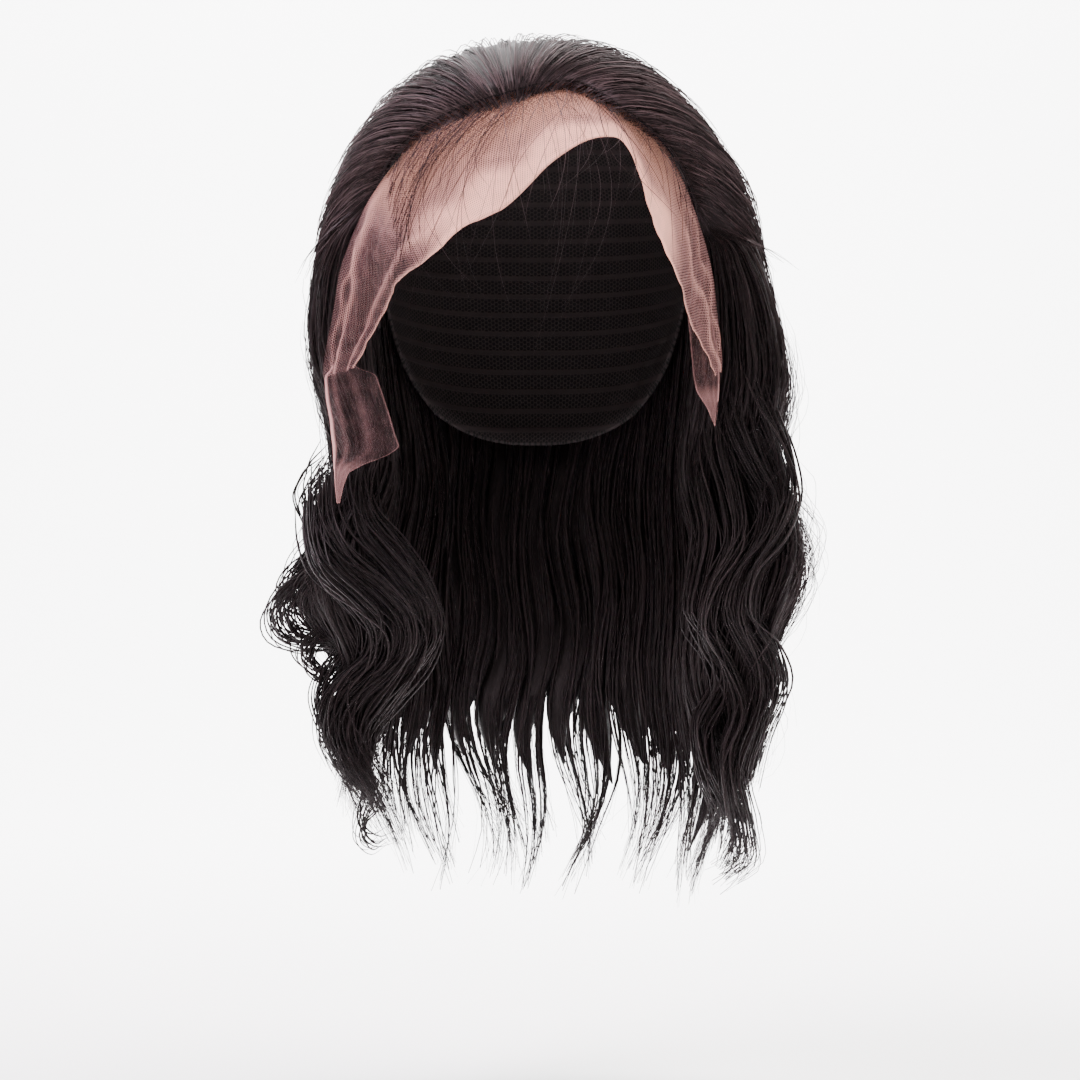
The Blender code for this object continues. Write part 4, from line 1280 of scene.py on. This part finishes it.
def values_of(data, name, size, kind=np.float64):
    values = np.empty(len(data) * size, kind)
    data.foreach_get(name, values)
    return values.reshape(-1, size) if size > 1 else values


def grid_sheet(name, along_cuts, across_cuts, place, density, knots, material):
    """Adds a grid, carries its points to their places, and gives it a wall."""
    deselect_all()
    bpy.ops.mesh.primitive_grid_add(x_subdivisions=across_cuts, y_subdivisions=along_cuts, size=1)
    sheet = bpy.context.object
    sheet.name = name
    mesh = sheet.data
    flat = values_of(mesh.vertices, "co", 3) + 0.5
    across, along = flat[:, 0], flat[:, 1]
    placed = place(across, along)
    mesh.uv_layers.active.name = "cloth_mm"
    uv = real_lengths(placed, along_cuts + 1)[values_of(mesh.loops, "vertex_index", 1, np.int32)]
    set_values(mesh.uv_layers["cloth_mm"].data, "uv", uv)
    point_values(mesh, "cloth_density", density(across, along))
    point_values(mesh, "cloth_knots", knots(across, along))
    set_values(mesh.vertices, "co", placed)
    mesh.update()
    bpy.ops.object.mode_set(mode="EDIT")
    bpy.ops.mesh.select_all(action="SELECT")
    bpy.ops.mesh.normals_make_consistent(inside=False)
    bpy.ops.object.mode_set(mode="OBJECT")
    wall = sheet.modifiers.new("wall", "SOLIDIFY")
    wall.thickness = LACE_THICKNESS
    wall.offset = 0
    bpy.ops.object.modifier_apply(modifier=wall.name)
    mesh.materials.clear()
    mesh.materials.append(material)
    mesh.shade_smooth()
    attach(sheet, "root")
    area = sum(p.area for p in mesh.polygons) / 2
    print(f"{name}: area {area:.5f} m2, {triangles_of(mesh)} triangles")
    return sheet


# %% The front lace sheet
LACE_ACROSS = 30
LACE_ALONG = 230
lace = grid_sheet(
    "lace_front_sheet", LACE_ALONG, LACE_ACROSS,
    lambda across, along: lace_place(along * LAST_STATION, across, LACE_CLEAR),
    lambda across, along: lace_density(along * LAST_STATION, across),
    lambda across, along: lace_knots(along * LAST_STATION, across), LACE,
)
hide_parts("lace_front")

# %% [markdown]
# ## The ear tabs
# Two loose flaps of a finer lace hang behind the ends of the front lace. They are made like it, from the
# outline tables of the solids, and run on a little way up behind it, so that no gap shows.

# %% Ear tabs
PIECE_GAP = 0.4 * MM
LACE_WALL = 1.0 * MM
TAB_BEHIND = 0.10  # how far a tab runs up behind the front lace, as a share of its length
TAB_BEHIND_SLANT = (0.10, -0.30)  # how far its outer and inner sides slant there, as shares of its width
# Down each tab: the drop as a share of its length, its outer and inner side as shares of its width.
LEFT_TAB = (
    (0.00, 0.00, 0.70),
    (0.18, 0.02, 0.80),
    (0.33, 0.07, 0.88),
    (0.46, 0.09, 0.94),
    (0.56, 0.11, 1.00),
    (0.625, 0.115, 0.84),
    (0.70, 0.12, 0.50),
    (0.76, 0.13, 0.32),
    (0.87, 0.14, 0.25),
    (1.00, 0.165, 0.205),
)
RIGHT_TAB = (
    (0.00, 0.30, 0.97),
    (0.23, 0.14, 0.88),
    (0.44, 0.02, 0.82),
    (0.58, 0.00, 0.78),
    (0.71, 0.01, 0.68),
    (0.86, 0.05, 0.35),
    (1.00, 0.10, 0.15),
)


def plain_lace(station):
    """The place of the lace's solid at its tucked edge."""
    turn = np.radians(lace_value("hair_turn", station))
    drop = lace_value("hair_drop", station) * HEAD_ABOVE
    lift = lace_value("hair_lift", station) * TEMPLE_LIFT
    return on_head(np.array(turn), np.array(drop), 0.0, lift)


def tab_place(rows, length, width, station, top_station, side, lean, folds):
    table = np.array(rows)
    top = plain_lace(station) + np.array([0, PIECE_GAP + LACE_WALL / 2, 0])
    top[2] = plain_lace(top_station)[2]

    def place(across, up):
        drop = 1 - up * (1 + TAB_BEHIND)
        behind = eased(-drop / TAB_BEHIND)
        outer = np.interp(drop, table[:, 0], table[:, 1]) + TAB_BEHIND_SLANT[0] * behind
        inner = np.interp(drop, table[:, 0], table[:, 2]) + TAB_BEHIND_SLANT[1] * behind
        reach = outer + (inner - outer) * across
        fold = folds * np.sin(reach * 15 + 1.6 * np.sin(drop * 5)) * eased(drop / 0.25)
        back = -lean * reach * width + fold + 1.6 * MM * behind
        return top + np.stack([-side * reach * width, back, -drop * length], -1)

    return place


def tab_density(across, up):
    drop = 1 - up
    rim = 0.8 * eased((0.07 - across) / 0.03) + 0.3 * eased((across - 0.97) / 0.02)
    hem = 0.3 * eased((0.02 - up) / 0.015)
    fold = ridge(across, 0.16 + 0.10 * drop, 0.05)
    fold = fold + 0.6 * ridge(across, 0.5 + 0.08 * np.sin(drop * 4), 0.08)
    point = 0.3 * eased((drop - 0.66) / 0.12)
    return np.clip(0.08 + rim + hem + point + 0.14 * fold, 0, 1)


def right_tab_density(across, up):
    return np.clip(0.05 + tab_density(across, up), 0, 1)


def no_knots(across, up):
    return 0 * across


left_place = tab_place(LEFT_TAB, 62 * MM, 38 * MM, 0, 0, -1, 0.45, 0.9 * MM)
left_tab = grid_sheet("ear_tab_left_sheet", 54, 30, left_place, tab_density, no_knots, TAB_LACE)
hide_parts("ear_tab_left")
right_place = tab_place(RIGHT_TAB, 57 * MM, 17 * MM, 22, 21, 1, 0.5, 0.5 * MM)
right_tab = grid_sheet(
    "ear_tab_right_sheet", 48, 16, right_place, right_tab_density, no_knots, TAB_LACE
)
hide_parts("ear_tab_right")

# %% [markdown]
# ## The cap
# The cap is a dome of black stretch net with rows of hair sewn along it. The solid has flat facets, so
# a copy is merged, cut finer and each new point is set back on the form. Its wall stays as thick as it
# was.

# %% The cap's material
def cap_material():
    material, tree, shader = new_material("stretch_net", Roughness=0.8, Specular_IOR_Level=0.25)
    net = add_node(tree, "ShaderNodeGroup", node_tree=NET)
    net.inputs["Cells per mm"].default_value = 0.5
    net.inputs["Hole"].default_value = -0.4
    uv = add_node(tree, "ShaderNodeUVMap", uv_map="cloth_mm").outputs["UV"]
    rows = {"Vector": uv, "Scale": 0.035, "Distortion": 0.6, "Detail Scale": 0.2}
    rows = add_node(tree, "ShaderNodeTexWave", rows, wave_type="BANDS", bands_direction="Y")
    rows = remap(tree, rows.outputs["Fac"], 0.72, 0.9)
    both = math_node(tree, "MAXIMUM", rows, net.outputs["Cover"])
    colour = mix_colours(tree, both, (0.0022, 0.0016, 0.0016, 1), (0.017, 0.012, 0.012, 1))
    tree.links.new(colour, shader.inputs["Base Color"])
    add_relief(tree, shader, both, 0.7, 0.4 * MM)
    return material


STRETCH_NET = cap_material()
print("cap material:", STRETCH_NET.name)

# %% The cap's net
CAP_WALL = 1.6 * MM
CAP_CUTS = 3
CAP_ROUND = 90  # millimetres of net for each radian round the cap, and below it for each one down it
CAP_DOWN = 92


def merged_copy(name, node):
    """A CAD node's mesh as a new object, with its loose triangles joined, in edit mode."""
    piece = bpy.data.objects.new(name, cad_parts[node].data.copy())
    bpy.context.scene.collection.objects.link(piece)
    deselect_all()
    piece.select_set(True)
    bpy.context.view_layer.objects.active = piece
    bpy.ops.object.mode_set(mode="EDIT")
    bpy.ops.mesh.select_all(action="SELECT")
    bpy.ops.mesh.remove_doubles(threshold=0.01 * MM)
    bpy.ops.mesh.normals_make_consistent(inside=False)
    return piece


def cut_finer(mesh):
    """Cuts the cap's facets and sets each new point on the form, on its own side of the wall."""
    bpy.ops.object.mode_set(mode="OBJECT")
    offset = values_of(mesh.vertices, "co", 3) - HEAD_CENTRE
    reach = np.linalg.norm(offset, axis=1)
    outer = reach - form_reach(offset / reach[:, None], 0.0) > CAP_WALL / 2
    point_values(mesh, "cap_outside", outer)
    bpy.ops.object.mode_set(mode="EDIT")
    bpy.ops.mesh.subdivide(number_cuts=CAP_CUTS)
    bpy.ops.object.mode_set(mode="OBJECT")
    share = values_of(mesh.attributes["cap_outside"].data, "value", 1, np.float32)
    direction = unit(values_of(mesh.vertices, "co", 3) - HEAD_CENTRE)
    reach = form_reach(direction, share * CAP_WALL)
    set_values(mesh.vertices, "co", HEAD_CENTRE + direction * reach[:, None])
    return direction


def cap_uvs(mesh, direction):
    """Millimetres round and down the cap. Each face's turns are kept within half a turn of its first."""
    index = values_of(mesh.loops, "vertex_index", 1, np.int32)
    turn = np.arctan2(direction[:, 0], direction[:, 1])[index]
    first = np.repeat([turn[p.loop_start] for p in mesh.polygons], [p.loop_total for p in mesh.polygons])
    turn = first + (turn - first + math.pi) % math.tau - math.pi
    down = np.arccos(np.clip(direction[index, 2], -1, 1))
    return np.stack([turn * CAP_ROUND, down * CAP_DOWN], -1)


cap = merged_copy("cap_net", "cap")
directions = cut_finer(cap.data)
set_values(cap.data.uv_layers.new(name="cloth_mm").data, "uv", cap_uvs(cap.data, directions))
cap.data.materials.clear()
cap.data.materials.append(STRETCH_NET)
cap.data.shade_smooth()
cap.data.set_sharp_from_angle(angle=math.radians(50))
cap.data.update()
print("cap_net:", triangles_of(cap.data), "triangles")
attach(cap, "root")
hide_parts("cap")

# %% [markdown]
# ## Camera, light and a floor
# The camera is level with the middle of the hair. Dark hair shows mostly what it reflects, so the world is
# kept dim, and large soft lights in front and above put the sheen on the crown, on top of the sheen
# painted into the strands' colour there.

# %% Camera
CAMERA_DISTANCE = 1.4
FRONT_PLANE = -0.090  # the plane that FRAME_WIDTH is measured in
FRAME_WIDTH = 0.514
SENSOR_WIDTH = 36
camera_data = bpy.data.cameras.new("camera")
camera = bpy.data.objects.new("camera", camera_data)
bpy.context.scene.collection.objects.link(camera)
camera.location = (0.0024, FRONT_PLANE - CAMERA_DISTANCE, -0.2375)
camera.rotation_euler = (math.radians(90), 0, 0)
camera_data.sensor_width = SENSOR_WIDTH
camera_data.lens = SENSOR_WIDTH * CAMERA_DISTANCE / FRAME_WIDTH
camera_data.clip_start = 0.05
bpy.context.scene.camera = camera
print(f"camera: {camera_data.lens:.0f} mm lens, {CAMERA_DISTANCE} m away")

# %% Lights and world
MIDDLE = (0, 0, -0.2)


def add_area(name, place, target, width, height, power, colour=(1, 1, 1)):
    """A rectangular light at a place, turned to face its target."""
    data = bpy.data.lights.new(name, "AREA")
    data.shape = "RECTANGLE"
    data.size = width
    data.size_y = height
    data.energy = power
    data.color = colour
    light = bpy.data.objects.new(name, data)
    light.location = place
    direction = np.array(target) - np.array(place)
    yaw = math.atan2(direction[1], direction[0])
    pitch = math.atan2(direction[2], math.hypot(direction[0], direction[1]))
    light.rotation_euler = (math.pi / 2 + pitch, 0, yaw - math.pi / 2)
    bpy.context.scene.collection.objects.link(light)
    print(f"{name}: {power} W")


add_area("key_left", (-0.8, -1.2, 0.9), MIDDLE, 0.8, 0.8, 17, (1.0, 0.96, 0.95))
add_area("fill_right", (1.5, -0.9, 0.3), MIDDLE, 1.0, 1.0, 13, (1.0, 0.95, 0.93))
add_area("crown_light_left", (-0.75, -0.35, 1.0), (-0.03, -0.03, -0.04), 0.7, 0.5, 43, (0.98, 0.84, 0.98))
add_area("crown_light_right", (0.5, 0.1, 1.2), (0.03, 0, -0.05), 0.8, 0.8, 44, (1.0, 0.87, 0.86))
add_area("backdrop_light", (0, 0.9, 1.5), (0, 3.0, -0.4), 3.0, 0.6, 460)
world = bpy.data.worlds.new("studio")
world.use_nodes = True
world.node_tree.nodes["Background"].inputs["Color"].default_value = (1, 1, 1, 1)
world.node_tree.nodes["Background"].inputs["Strength"].default_value = 0.34
bpy.context.scene.world = world

# %% Floor
FLOOR_Z = -0.52
FLOOR_SIZE = 7
FLOOR_IN_FRONT = 2.4
SWEEP_START = 1.6
SWEEP_RADIUS = 0.9


def make_floor():
    """A pale floor that sweeps up into a backdrop behind."""
    deselect_all()
    bpy.ops.mesh.primitive_grid_add(x_subdivisions=1, y_subdivisions=96, size=FLOOR_SIZE)
    floor = bpy.context.object
    floor.name = "floor"
    for vertex in floor.data.vertices:
        run = vertex.co.y + FLOOR_SIZE / 2 - FLOOR_IN_FRONT
        turn = min(max((run - SWEEP_START) / SWEEP_RADIUS, 0), math.pi / 2)
        past = max(run - SWEEP_START - SWEEP_RADIUS * math.pi / 2, 0)
        y = min(run, SWEEP_START) + SWEEP_RADIUS * math.sin(turn)
        z = SWEEP_RADIUS * (1 - math.cos(turn)) + past
        vertex.co = (vertex.co.x, y, FLOOR_Z + z)
    material, _, _ = new_material("pale_floor", Base_Color=(0.88, 0.88, 0.88, 1), Roughness=0.9)
    floor.data.materials.append(material)
    floor.data.shade_smooth()
    return floor


make_floor()
print(f"floor {-FLOOR_Z} m below the crown")
